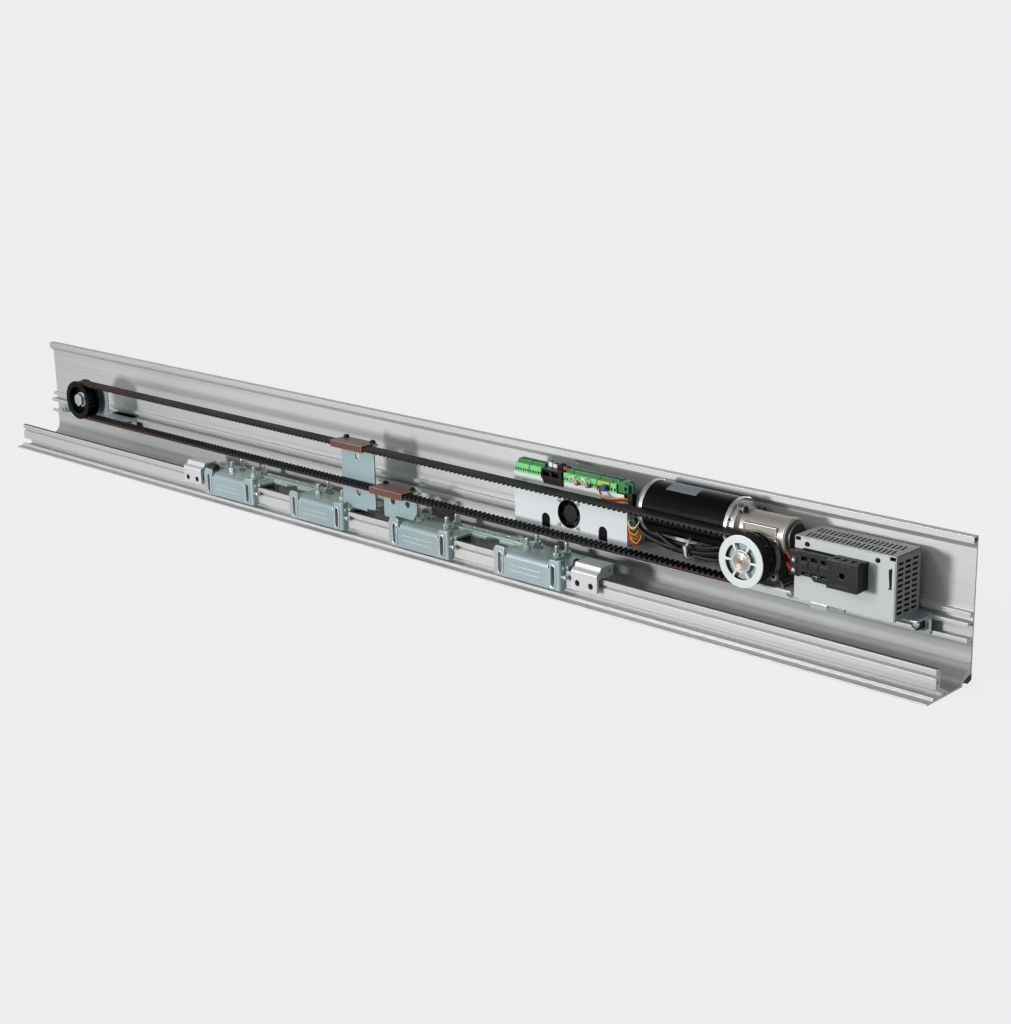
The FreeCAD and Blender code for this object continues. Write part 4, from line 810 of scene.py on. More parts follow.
def route(title: str, points: Sequence[Triple], radius: float) -> bpy.types.Curve:
    """Lay a smooth line through the air near its points.

    Args:
        title: the line's name.
        points: its control points.
        radius: the radius of what follows it.

    Returns:
        The line.
    """
    curve = bpy.data.curves.new(title, "CURVE")
    curve.dimensions = "3D"
    curve.bevel_depth = radius
    curve.bevel_resolution = 3
    curve.resolution_u = 8
    curve.use_fill_caps = True
    spline = curve.splines.new("NURBS")
    spline.points.add(len(points) - 1)
    for point, spot in zip(spline.points, points):
        point.co = (*spot, 1.0)
    spline.order_u = 3
    spline.use_endpoint_u = True
    return curve


def wire(points: Sequence[Triple], radius: float) -> Mesh:
    """Make a short fixed wire along a smooth line.

    Args:
        points: the line's control points.
        radius: the wire's radius.

    Returns:
        The wire.
    """
    curve = route("wire", points, radius)
    curve.bevel_resolution = 1
    holder = bpy.data.objects.new("wire", curve)
    made = bpy.data.meshes.new_from_object(holder)
    mesh = bmesh.new()
    mesh.from_mesh(made)
    mesh.faces.layers.float.new("edge")
    bpy.data.objects.remove(holder)
    bpy.data.curves.remove(curve)
    bpy.data.meshes.remove(made)
    return mesh


def thread(plane: Plane, start: Triple, radius: float, length: float, pitch: float = 1.0) -> Mesh:
    """Make the threaded end of a bolt.

    Args:
        plane: the plane of its round section.
        start: the middle of its first end.
        radius: its outer radius.
        length: its length.
        pitch: the distance between its crests.

    Returns:
        The threaded bar.
    """
    count = max(2, int(length / pitch))
    points = [(0.0, 0.0), (0.0, radius * 0.8)]
    for turn in range(count):
        points += [((turn + 0.35) * length / count, radius), ((turn + 0.85) * length / count, radius * 0.86)]
    points += [(length, radius * 0.8), (length, 0.0)]
    return lathe(plane, start, points, 0.0, 20)


def hex_nut(plane: Plane, start: Triple, across: float, height: float) -> Mesh:
    """Make a hexagon nut with rounded corners on its first face, by its width across flats."""
    return rod(plane, start, across / math.sqrt(3.0), height, 0.45, 6)


def show(title: str, data: bpy.types.ID) -> bpy.types.Object:
    """Put data in the scene as an object of its own."""
    item = bpy.data.objects.new(title, data)
    bpy.context.scene.collection.objects.link(item)
    return item


@dataclass
class Piece:
    """One object of the scene, put together from meshes with their finishes."""

    title: str
    mesh: Mesh = field(default_factory=fresh)
    finishes: list[Finish] = field(default_factory=list)

    def add(self, mesh: Mesh, finish: Finish, other: Finish | None = None,
            chosen: Callable[[bmesh.types.BMFace], bool] = lambda face: False) -> "Piece":
        """Join a mesh to the piece.

        Args:
            mesh: the mesh, which is used up.
            finish: what it is dressed in.
            other: the finish of the chosen faces.
            chosen: says which faces take the other finish.

        Returns:
            The piece.
        """
        for wanted in (finish, other):
            if wanted and wanted not in self.finishes:
                self.finishes.append(wanted)
        first = self.finishes.index(finish)
        second = self.finishes.index(other) if other else first
        for face in mesh.faces:
            face.material_index = second if chosen(face) else first
        holder = bpy.data.meshes.new("holder")
        mesh.to_mesh(holder)
        mesh.free()
        self.mesh.from_mesh(holder)
        bpy.data.meshes.remove(holder)
        return self

    def box(self, x: Pair, y: Pair, z: Pair, soft: float, finish: Finish) -> "Piece":
        """Join a rounded box, as block makes it."""
        return self.add(block(x, y, z, soft), finish)

    def place(self, body: str, slot: str, *nodes: str) -> None:
        """Finish the object and tie it to the part.

        Args:
            body: the body that it rides on.
            slot: the record's material slot; not used.
            nodes: the solids that it stands for.
        """
        bmesh.ops.transform(self.mesh, matrix=TO_PART, verts=self.mesh.verts[:])
        data = bpy.data.meshes.new(self.title)
        self.mesh.to_mesh(data)
        self.mesh.free()
        if "custom_normal" in data.attributes:
            data.attributes.remove(data.attributes["custom_normal"])
        for finish in self.finishes:
            data.materials.append(finish.material())
        data.shade_smooth()
        data.set_sharp_from_angle(angle=SHARP_ANGLE)
        item = show(self.title, data)
        weighted = item.modifiers.new("weighted normals", "WEIGHTED_NORMAL")
        weighted.keep_sharp = True
        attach(item, body)
        if nodes:
            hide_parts(*nodes)
        log.info("%s: %d faces", self.title, len(data.polygons))


def dress(node: str, finish: Finish) -> None:
    """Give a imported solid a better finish.

    Args:
        node: the solid's name.
        finish: its finish.
    """
    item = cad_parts[node]
    if not item.material_slots:
        item.data.materials.append(finish.material())
    for place in item.material_slots:
        place.material = finish.material()
    log.info("%s: dressed", node)


# The studio
@dataclass
class Studio:
    """Camera, floor, backdrop and lamps."""

    eye: Triple = (1.84227, -1.70895, 0.66782)
    azimuth: float = 44.174
    elevation: float = 16.25
    roll: float = -1.291
    lens: float = 64.93
    floor_level: float = -0.090
    backdrop: str = "eeedf0"
    ambient: float = 0.66
    soft_box: Triple = (-0.35, -0.62, 0.70)
    darkest: float = 0.2
    sun: float = 0.5
    sun_way: Triple = (0.3, 0.8, -0.5)
    rear: float = 1.5
    rear_way: Triple = (0.1, -0.98, -0.16)
    key: float = 64.0
    key_spot: Triple = (-0.55, -2.7, 0.36)
    key_way: Triple = (1.1, 2.7, -0.36)
    floor_glow: float = 0.932
    floor_gloss: float = 0.55
    floor_lit: str = "a4a5a6"
    floor_seen: str = "656567"
    floor_size: float = 14.0
    floor_gap: float = 0.0004
    sensor: float = 36.0
    farthest: float = 50.0
    sun_spot: Triple = (0.0, 0.0, 3.0)
    sun_angle: float = math.radians(12.0)
    rear_angle: float = math.radians(20.0)
    key_size: float = 0.5

    def build(self) -> None:
        """Set up the whole studio."""
        self.camera()
        self.world()
        self.floor()
        self.lamps()
        bpy.context.scene.view_settings.view_transform = "Standard"
        log.info("studio: camera, floor and lamps")

    def camera(self) -> None:
        """Set the camera to the photograph's view."""
        turn, rise, roll = (math.radians(angle) for angle in (self.azimuth, self.elevation, self.roll))
        back = Vector((math.sin(turn) * math.cos(rise), -math.cos(turn) * math.cos(rise), math.sin(rise)))
        right = Vector((math.cos(turn), math.sin(turn), 0.0))
        up = back.cross(right)
        tilted_right = right * math.cos(roll) + up * math.sin(roll)
        tilted_up = up * math.cos(roll) - right * math.sin(roll)
        view = Matrix((tilted_right, tilted_up, back)).transposed().to_4x4()
        data = bpy.data.cameras.new("camera")
        data.sensor_fit = "AUTO"
        data.sensor_width = self.sensor
        data.lens = self.lens
        data.clip_end = self.farthest
        camera = show("camera", data)
        camera.matrix_world = Matrix.Translation(self.eye) @ view
        bpy.context.scene.camera = camera

    def seen(self, graph: Graph) -> Socket:
        """Tell the rays that show the backdrop: camera, glossy and transmission.

        Args:
            graph: the nodes of the world or the floor.

        Returns:
            One for such a ray, otherwise nought.
        """
        path = graph.add("LightPath").outputs
        shown = graph.math("MAXIMUM", path["Is Camera Ray"], path["Is Glossy Ray"])
        return graph.math("MAXIMUM", shown, path["Is Transmission Ray"])

    def world(self) -> None:
        """Make the plain backdrop and its even light."""
        world = bpy.data.worlds.new("studio")
        bpy.context.scene.world = world
        world.use_nodes = True
        graph = Graph(world.node_tree)
        world.node_tree.nodes.clear()
        way = graph.add("TexCoord").outputs["Generated"]
        facing = graph.add("VectorMath", {0: way, 1: self.soft_box}, operation="DOT_PRODUCT").outputs["Value"]
        softened = graph.math("POWER", graph.span(facing, -0.15, 0.98), 1.5)
        spread = graph.span(softened, 0.0, 1.0, self.darkest, 1.0)
        path = graph.add("LightPath").outputs
        parts = graph.add("SeparateXYZ", {0: way}).outputs
        aside = graph.span(parts[0], 0.3, 0.75, 0.0, 0.55)
        behind = graph.times(graph.span(parts[1], 0.1, 0.5, 0.0, 0.7), graph.span(parts[2], 0.8, 0.4))
        wide = graph.math("MAXIMUM", aside, behind)
        glossy = graph.times(path["Is Glossy Ray"], graph.math("ADD", wide, 1.0 - self.ambient))
        even = graph.math("ADD", graph.times(spread, self.ambient), graph.times(glossy, 0.8))
        ceiling = graph.times(path["Is Glossy Ray"], graph.span(parts[2], 0.45, 0.85, 0.0, 0.75))
        even = graph.times(even, graph.math("SUBTRACT", 1.0, ceiling))
        straight = graph.math("MAXIMUM", path["Is Camera Ray"], path["Is Transmission Ray"])
        strength = graph.add("Mix", {0: straight, 2: even, 3: 1.0}).outputs[0]
        shown = graph.add("Background", {"Color": tone(self.backdrop), "Strength": strength})
        graph.add("OutputWorld", {"Surface": shown.outputs[0]})

    def floor(self) -> None:
        """Make the pale floor, which keeps a soft shadow."""
        mesh = bmesh.new()
        place = Matrix.Translation((0.0, 0.0, self.floor_level - self.floor_gap))
        bmesh.ops.create_grid(mesh, x_segments=1, y_segments=1, size=self.floor_size, matrix=place)
        data = bpy.data.meshes.new("floor")
        mesh.to_mesh(data)
        mesh.free()
        material = bpy.data.materials.new("floor")
        material.use_nodes = True
        graph = Graph(material.node_tree)
        material.node_tree.nodes.clear()
        path = graph.add("LightPath").outputs
        lit = graph.add("BsdfDiffuse", {"Color": tone(self.floor_lit)})
        pale = graph.add("BsdfDiffuse", {"Color": tone(self.floor_seen)})
        dimmed = graph.span(path["Is Glossy Ray"], 0.0, 1.0, self.floor_glow, self.floor_gloss)
        glow = graph.add("Emission", {"Color": tone(self.backdrop), "Strength": dimmed})
        shown = graph.add("AddShader", {0: pale.outputs[0], 1: glow.outputs[0]})
        mixed = graph.add("MixShader", {0: self.seen(graph), 1: lit.outputs[0], 2: shown.outputs[0]})
        graph.add("OutputMaterial", {"Surface": mixed.outputs[0]})
        data.materials.append(material)
        show("floor", data)

    def lamps(self) -> None:
        """Hang the key lamp before the left end, a weak sun for the floor's shadow, and a rear light."""
        sun = bpy.data.lights.new("sun", "SUN")
        sun.energy = self.sun
        sun.angle = self.sun_angle
        key = bpy.data.lights.new("key", "AREA")
        key.energy = self.key
        key.shape = "DISK"
        key.size = self.key_size
        rear = bpy.data.lights.new("rear", "SUN")
        rear.energy = self.rear
        rear.angle = self.rear_angle
        for data, place, way in ((sun, self.sun_spot, self.sun_way), (rear, self.sun_spot, self.rear_way),
                                 (key, self.key_spot, self.key_way)):
            lamp = show(data.name, data)
            lamp.location = place
            lamp.rotation_euler = Vector(way).to_track_quat("-Z", "Y").to_euler()
        unlit = bpy.data.collections.new("unlit by key and rear")
        unlit.objects.link(bpy.data.objects["floor"])
        unlit.collection_objects[0].light_linking.link_state = "EXCLUDE"
        for title in ("key", "rear"):
            bpy.data.objects[title].light_linking.receiver_collection = unlit


# The carrier profile and what is bolted in its slot
@dataclass
class Carrier:
    """The aluminium profile, its seal and its running strip."""

    section: tuple[Pair, ...] = ((2.5, 169), (-7, 169), (-7, 161.5), (0, 154.5), (0, 83), (-7, 83),
                                 (-7, 77.5), (0, 77.5), (0, 72.4), (-11.5, 72.4), (-11.5, 67.6), (-9.1, 67.6),
                                 (-9.1, 70.2), (0, 70.2), (0, 51.6), (-9.1, 51.6), (-9.1, 54.2),
                                 (-11.5, 54.2), (-11.5, 49.4), (-3.5, 49.4), (-1.6, 41), (-1, 33.2),
                                 (-1.3, 27), (-2.2, 22.5), (-3.8, 18.8), (-6.2, 15.8), (-9.2, 13.2),
                                 (-12.6, 11), (-15.4, 9), (-17.6, 6.6), (-19, 4), (-20, 2), (-42, 2),
                                 (-56.3, 10), (-63.4, 14), (-62.8, 31.9), (-67.12, 36.5), (-72.4, 36.5),
                                 (-72.4, 30.5), (-67.4, 28.2), (-72.4, 25.9), (-72.4, 13.2), (-62.8, 10),
                                 (-59.8, 7), (-59.8, 2), (-73.4, 2), (-73.4, 5.5), (-76.4, 5.5), (-76.4, 2),
                                 (-88.2, 1.6), (-88.2, 0), (-17, 0), (-15.2, 4.42), (-9, 7.82), (2.5, 11))

    def build(self) -> None:
        """Make the profile and dress its seal and strip."""
        hollows = [window((-5.6, 1.1), (162.2, 167.6)), Hole(-67.6, 20.7, 1.5, sides=12),
                   Hole(-52.9, 4, 1.7, sides=3)]
        half = AT.half_length
        body = plate(YZ, self.section, (-half, half), hollows, 0.35)
        profile = Piece("profile_extrusion").add(body, EXTRUDED, SAWN, lambda face: abs(face.normal.x) > 0.9)
        profile.place("operator", "profile", "carrier_profile")
        dress("base_seal", SEAL)
        dress("rail_strip", STRIP)


@dataclass
class SlotFasteners:
    """Bolts in the wall's slot: place along the profile and thickness of what each one clamps."""

    spots: tuple[Pair, ...] = ((-846.5, 0), (-696, 3), (-656, 3), (276.4, 2.5), (404, 2.5), (540.4, 2.5),
                               (663.6, 2.5), (716, 2.5), (832, 2.5))
    dark_spot: float = 832.0
    washer: Pair = (8, 1.6)
    nut: Pair = (13, 6.5)
    head_half: float = 6.5
    shank: float = 4.0
    past_nut: float = 2.5

    def build(self) -> None:
        """Make all bolts as one piece."""
        piece = Piece("slot_bolt_set")
        for x, sheet in self.spots:
            face = AT.slot_face - sheet - self.washer[1]
            seat = face - self.nut[1]
            metal = BLACK_STEEL if x == self.dark_spot else BRIGHT_ZINC
            head = block((x - self.head_half, x + self.head_half), (-9.1, -4.1), (53.4, 68.4), 0.6)
            piece.add(head, BRIGHT_ZINC)
            piece.add(rod(XZ, (x, face, AT.slot_mid), self.washer[0], self.washer[1], 0.4), BRIGHT_ZINC)
            piece.add(hex_nut(XZ, (x, seat, AT.slot_mid), *self.nut), metal)
            tip = seat - self.past_nut
            piece.add(thread(XZ, (x, tip, AT.slot_mid), self.shank, -9.1 - tip), BRIGHT_ZINC)
        piece.place("operator", "zinc", "slot_bolts")


# The belt drive
@dataclass
class BeltDrive:
    """Toothed belt, both pulleys, and the idler's bracket."""

    pitch: float = 8.0
    teeth: int = 354
    pitch_radius: float = 28.0113
    back_depth: float = -1.934
    root_depth: float = 0.686
    tip_depth: float = 4.066
    face_front: float = -90.0
    rivets: int = 11
    rivet_circle: float = 29.2

    def build(self) -> None:
        """Make every piece of the drive."""
        self.belt()
        self.drive_pulley()
        self.idler()
        self.bracket()

    def on_path(self, travel: float, depth: float) -> Pair:
        """Find a point of the belt.

        Args:
            travel: how far along the pitch line it lies, from the top of the idler.
            depth: how far inside the pitch line it lies.

        Returns:
            Its places along the profile and upwards.
        """
        strand = AT.drive_x - AT.idler_x
        bend = math.pi * self.pitch_radius
        travel %= 2 * (strand + bend)
        reach = self.pitch_radius - depth
        level = AT.shaft_level
        if travel < strand:
            return (AT.idler_x + travel, level + reach)
        if travel < strand + bend:
            angle = math.pi / 2 - (travel - strand) / self.pitch_radius
            return (AT.drive_x + reach * math.cos(angle), level + reach * math.sin(angle))
        if travel < 2 * strand + bend:
            return (AT.drive_x - (travel - strand - bend), level - reach)
        angle = -math.pi / 2 - (travel - 2 * strand - bend) / self.pitch_radius
        return (AT.idler_x + reach * math.cos(angle), level + reach * math.sin(angle))

    def belt(self) -> None:
        """Repeat one tooth along the pitch line and close it to a loop."""
        back, root, tip = self.back_depth, self.root_depth, self.tip_depth
        half = self.pitch / 2
        tooth = [(-half, root), (-2.9, root), (-2.5, root + 0.5), (-1.75, tip - 0.5), (-1.2, tip), (1.2, tip),
                 (1.75, tip - 0.5), (2.5, root + 0.5), (2.9, root), (half, root)]
        outline = [(half, back), (0, back), (-half, back)] + tooth
        unit = plate(XY, outline, (0, AT.belt_rear - AT.belt_front), (), 0)
        ends = [face for face in unit.faces
                if abs(face.normal.x) > 0.99 and abs(face.calc_center_median().x) > half - 0.1]
        bmesh.ops.delete(unit, geom=ends, context="FACES_ONLY")
        mesh = unit.copy()
        for step in range(1, self.teeth):
            made = bmesh.ops.duplicate(mesh, geom=unit_geometry(mesh, unit))
            bmesh.ops.translate(mesh, vec=(self.pitch * step, 0, 0), verts=only_verts(made["geom"]))
        unit.free()
        depths = mesh.verts.layers.float.new("depth")
        for vert in mesh.verts:
            travel, depth, width = vert.co
            vert[depths] = depth
            x, z = self.on_path(travel, depth)
            vert.co = (x, AT.belt_front + width, z)
        bmesh.ops.remove_doubles(mesh, verts=mesh.verts[:], dist=0.02)
        outward(mesh)
        Piece("toothed_belt", mesh, [BELT]).place("operator", "belt", "drive_belt")

    def drive_pulley(self) -> None:
        """Make the black pulley, its windowed steel face and the hub's cap."""
        x, level, front = AT.drive_x, AT.shaft_level, self.face_front
        body = Piece("drive_pulley_body").add(copy_of("drive_pulley", 0.25), BLACK_MOULD)
        for step in range(self.rivets):
            angle = math.radians(step * 360 / self.rivets + 8)
            across, rise = self.rivet_circle * math.cos(angle), self.rivet_circle * math.sin(angle)
            body.add(rod(XZ, (x + across, AT.belt_rear + 0.2, level + rise), 0.7, 0.8, 0.2, 8), PALE_STEEL)
        body.add(ring(XZ, (x, front + 5.2, level), (11.6, 21.6), 1.2, 0), WEB_GREEN)
        body.place("drive_wheel", "black_plastic", "drive_pulley")
        face = Piece("pulley_steel_face").add(copy_of("pulley_face", 0.35), PALE_STEEL)
        face.add(ring(XZ, (x, front, level), (11.5, 13.4), 2.4), PALE_STEEL)
        face.place("drive_wheel", "pulley_steel", "pulley_face")
        profile = [(front - 0.8, 0), (front - 0.8, 10.5), (front, 11.45), (front + 13.7, 11.45),
                   (front + 13.7, 5.95), (-60.6, 5.95), (-60.6, 0)]
        hub = Piece("hub_cap").add(lathe(XZ, (x, 0, level), profile, 0.25), TURNED)
        # A near-black disc paints the shade in the hub's bore
        hub.add(rod(XZ, (x, front - 0.85, level), 1.5, 0.4, 0.1, 16), PAINTED_SHADE)
        hub.add(ring(XZ, (x, front - 0.95, level), (2.6, 3.1), 0.25, 0), CAST_DARK)
        hub.place("drive_wheel", "pulley_steel", "drive_hub")

    def idler(self) -> None:
        """Make the black idler and its bolt."""
        x, level = AT.idler_x, AT.shaft_level
        body = Piece("idler_body").add(copy_of("idler_pulley", 0.45), GLOSS_BLACK)
        body.place("idler_wheel", "black_plastic", "idler_pulley")
        seat = -82
        axle = Piece("idler_bolt")
        washer = [(0, 0), (0, 11.2), (0.6, 12), (1.7, 12), (1.7, 0)]
        axle.add(lathe(XZ, (x, seat - 2, level), washer, 0.2), BRIGHT_ZINC)
        axle.add(hex_nut(XZ, (x, seat - 8, level), 18, 6), ZINC)
        axle.add(rod(XZ, (x, seat - 8.5, level), 5.9, 0.8, 0.3), BRIGHT_ZINC)
        axle.add(rod(XZ, (x, seat - 1.5, level), 5.95, 34, 0.2), BRIGHT_ZINC)
        axle.add(rod(XZ, (x, -68.9, level), 9.6, 9.9, 0.4), BRIGHT_ZINC)
        axle.add(hex_nut(XZ, (x, -56, level), 18, 6), BRIGHT_ZINC)
        axle.place("operator", "zinc", "idler_axle")

    def bracket(self) -> None:
        """Make the idler's bracket from a flat flange and an upright with one fold, and its gusset."""
        left, right = AT.idler_x - 22.42, AT.idler_x + 36.58
        slots = [Hole(AT.idler_x + shift, AT.slot_mid, 4.3, 5.5) for shift in (-10, 30)]
        flange = plate(XZ, rectangle((left, right + 9), (AT.slot_low, AT.slot_high)), (-14.5, -11.5), slots)
        shoulder = AT.shaft_level + 13
        outline = [(left, 14), (right, 14), (right, shoulder)] + arc(right - 6, shoulder, 6, 0, 90, 5)
        outline += arc(left + 6, shoulder, 6, 90, 180, 5)
        upright = plate(XZ, outline, (-59, -56), [Hole(AT.idler_x, AT.shaft_level, 6, sides=24)], 0.4)
        Fold((0, -57.5, 74.4), (0, 0, -1), (0, 1, 0), 3.5).bend(upright)
        gusset = plate(XY, [(right, -50), (right, -11.5), (right + 9, -11.5), (right + 9, -17.5)],
                       (69.4, 72.4), (), 0.4)
        piece = Piece("idler_plate")
        piece.add(flange, ZINC).add(upright, ZINC).add(gusset, BRIGHT_ZINC)
        piece.place("operator", "zinc", "idler_bracket")


def unit_geometry(mesh: Mesh, unit: Mesh) -> list[object]:
    """Give the first repeat unit inside a mesh that started as its copy.

    Args:
        mesh: the mesh, whose first elements are the unit's.
        unit: the unit itself.

    Returns:
        The unit's points, edges and faces.
    """
    for table in (mesh.verts, mesh.edges, mesh.faces):
        table.ensure_lookup_table()
    return mesh.verts[:len(unit.verts)] + mesh.edges[:len(unit.edges)] + mesh.faces[:len(unit.faces)]


# Motor and gearbox
@dataclass
class MotorUnit:
    """Module shelf, motor and worm gearbox."""

    axis: Pair = (-38, 136)
    can: Pair = (479.5, 601.5)
    radius: float = 32.0
    barrel: Pair = (609.5, 679.5)
    barrel_radius: float = 21.5
    case_radius: float = 32.5
    case: Pair = (-60.6, -20.6)
    strip_top: float = 122.43
    label_middle: float = 526.0
    label_size: Pair = (45, 34)
    label_lean: float = 102.0
    label_radius: float = 32.12

    def build(self) -> None:
        """Make the shelf, the motor and the gearbox."""
        self.shelf()
        self.motor()
        self.gearbox()

    def shelf(self) -> None:
        """Make the bent strip that carries the modules."""
        holes = [Hole(x, AT.slot_mid, 4.3, sides=16) for x in (276.4, 404, 540.4, 663.6)]
        outline = rectangle((250, 690), (AT.slot_low, self.strip_top))
        strip = plate(XZ, outline, (-14, -11.5), holes, 0.3)
        Fold((0, -12.75, 73.75), (0, 0, 1), (0, -1, 0), 3).bend(strip)
        Piece("module_strip").add(strip, WHITE_STRIP).place("operator", "panel_paint", "module_shelf")

    def motor(self) -> None:
        """Make the can with its bare label, the rear cap and the front ring."""
        y, z = self.axis
        start, end = self.can
        r, groove, long = self.radius, self.radius - 0.35, end - start
        profile = [(0, 0), (0, r - 1.2), (0.8, r), (4, r), (4.3, groove), (4.9, groove), (5.2, r),
                   (long - 6.2, r), (long - 5.9, groove), (long - 5.3, groove), (long - 5, r), (long, r),
                   (long, 0)]
        can = Piece("motor_tube").add(lathe(YZ, (start, y, z), profile, 0, 96), GLOSS_BLACK)
        can.place("operator", "motor_paint", "motor_can")
        bells = Piece("motor_bells")
        cap = [(-18, 0), (-18, 14), (-17, 16), (-14.5, 24), (-12.5, 26.5), (-5, 31.2), (-5, 0)]
        band = [(-5, 0), (-5, 32.1), (-4.6, 32.6), (-0.3, 32.6), (0, 32), (0, 0)]
        front = [(0, 0), (0, 32.6), (0.4, 33), (4.4, 33), (5, 32.4), (5, 29), (8, 29), (8, 0)]
        bells.add(lathe(YZ, (start, y, z), cap, 0.3, 72), CAP_GREY)
        bells.add(lathe(YZ, (start, y, z), band, 0.15, 72), SILVER)
        bells.add(lathe(YZ, (end, y, z), front, 0.2, 72), SILVER)
        for angle in (35, 155, 215, 325):
            across, rise = math.cos(math.radians(angle)), math.sin(math.radians(angle))
            for x, reach, radius, length, soft in ((start - 12, 26, 2, 7, 0.3),
                                                   (end + 3.6, 30.9, 1.5, 2, 0.2)):
                spot = (x, y + reach * across, z + reach * rise)
                bells.add(rod(YZ, spot, radius, length, soft, 12), BLACK_STEEL)
        bells.place("operator", "cast_alloy", "motor_end_bells")
        self.label()

    def label(self) -> None:
        """Lay the bare rating plate on the can."""
        y, z = self.axis
        mesh = fresh()
        bmesh.ops.create_grid(mesh, x_segments=2, y_segments=12, size=0.5)
        for vert in mesh.verts:
            x = self.label_middle + vert.co.x * self.label_size[0]
            lean = math.radians(self.label_lean + vert.co.y * self.label_size[1])
            vert.co = (x, y + self.label_radius * math.cos(lean), z + self.label_radius * math.sin(lean))
        bmesh.ops.solidify(mesh, geom=mesh.faces[:], thickness=0.2)
        outward(mesh)
        Piece("motor_plate").add(mesh, BARE_LABEL).place("operator", "panel_paint")

    def gearbox(self) -> None:
        """Make the worm's barrel, the flange with its lugs, and the gear case."""
        y, z = self.axis
        start, end = self.barrel
        r, long = self.barrel_radius, end - start
        box = Piece("worm_gearbox")
        barrel = [(0, 0), (0, 28.6), (3.4, 28.6), (4.4, 25.5), (7, r + 0.4), (9, r), (long - 9, r),
                  (long - 7, r + 0.5), (long - 2, r + 0.5), (long, r - 1), (long, 0)]
        lid = [(0, 0), (0, 16.5), (3.4, 16.5), (4, 15.6), (4, 0)]
        box.add(lathe(YZ, (start, y, z), barrel, 0.5, 72), CAST_LIGHT)
        box.add(lathe(YZ, (end, y, z), lid, 0.3, 48), CAST_DARK)
        for angle in (62, 148, 214, 300):
            lean = math.radians(angle)
            spot = (start + 0.4, y - 27 * math.cos(lean), z + 27 * math.sin(lean))
            box.add(rod(YZ, spot, 5, 9, 0.8, 24), CAST_DARK)
            box.add(rod(YZ, (spot[0] + 8, spot[1], spot[2]), 3.2, 3.2, 0.4, 20), BLACK_STEEL)
        frame_outer = rectangle((622, 669), (134.6, 148.4))
        box.add(plate(XZ, frame_outer, (-60.5, -52), [window((624, 667), (136.6, 146.4))], 0.5), CAST_LIGHT)
        box.box((623, 668), (-59.6, -52), (135.4, 147.6), 0.4, CAST_LIGHT)
        self.gear_case(box)
        box.place("operator", "cast_alloy", "gearbox_housing")

    def gear_case(self, box: Piece) -> None:
        """Add the round case behind the pulley, its bosses, foot and cable gland.

        Args:
            box: the gearbox's piece.
        """
        x, level = AT.drive_x, AT.shaft_level
        front, back = self.case
        r, deep = self.case_radius, back - front
        case = [(-6, 6.2), (-6, 19), (-5, 20.1), (0, 20.1), (0, r - 3), (2, r - 0.5), (4, r),
                (deep - 2, r), (deep, r - 2), (deep, 0)]
        box.add(lathe(XZ, (x, front, level), case, 0.5, 72), CAST_DARK)
        for side in (-1, 1):
            for rise in (-1, 1):
                spot = (x + side * 26, front - 2, level + rise * 19.5)
                rim = [(0, 2.6), (0, 5.6), (0.9, 6.5), (24, 6.5), (24, 0)]
                box.add(lathe(XZ, spot, rim, 0.3, 28), CAST_DARK)
                box.add(lathe(XZ, spot, [(-0.1, 2.4), (-0.1, 4.4), (1, 4.4), (9, 2.4), (-0.1, 2.4)],
                              0.15, 24), SILVER)
                # Near-black rods paint the shade inside the bosses' bores
                box.add(rod(XZ, (spot[0], spot[1] + 3, spot[2]), 2.6, 6, 0.1, 16), PAINTED_SHADE)
        foot = [(617.6, 78), (677.7, 78), (677.7, 82), (668, 91.5), (626, 91.5), (617.6, 84)]
        box.add(plate(XZ, foot, (-56.6, -20.6), (), 0.8), CAST_DARK)
        web = [(x + 14, 118), (x + 35, 118), (x + 37.5, 136), (x + 14, 136)]
        box.add(plate(XZ, web, (-52, -26), (), 1.2), CAST_LIGHT)
        gland = [(0, 0), (0, 4.9), (0.9, 6), (4.7, 6), (5.3, 5.2), (12, 5.2), (12, 0)]
        box.add(lathe(YZ, (606.3, -37, 95), gland, 0.2, 24), BLACK_MOULD)


def cap_screw(plane: Plane, spot: Triple, radius: float, height: float, outwards: float) -> tuple[Mesh, Mesh]:
    """Make a screw's head, with a flat disc in its driving recess that is dressed near-black as painted
    shade.

    Args:
        plane: the plane of its round section.
        spot: the middle of its seat.
        radius: the head's radius.
        height: the head's height.
        outwards: the sign of the way that it points along the third axis.

    Returns:
        The head, and the disc whose near-black finish paints the recess's shade.
    """
    points = [(0, 0), (0, radius), (height * 0.6 * outwards, radius), (height * outwards, radius * 0.72),
              (height * outwards, 0)]
    tip = Vector(spot) + plane.matrix().to_3x3() @ Vector((0, 0, (height - 0.5) * outwards))
    # The recess is a shallow disc, not a hole; callers dress it in painted shade
    recess = rod(plane, tuple(tip), radius * 0.42, 0.55 * outwards, 0, 6)
    return lathe(plane, spot, points, 0.15, 20), recess


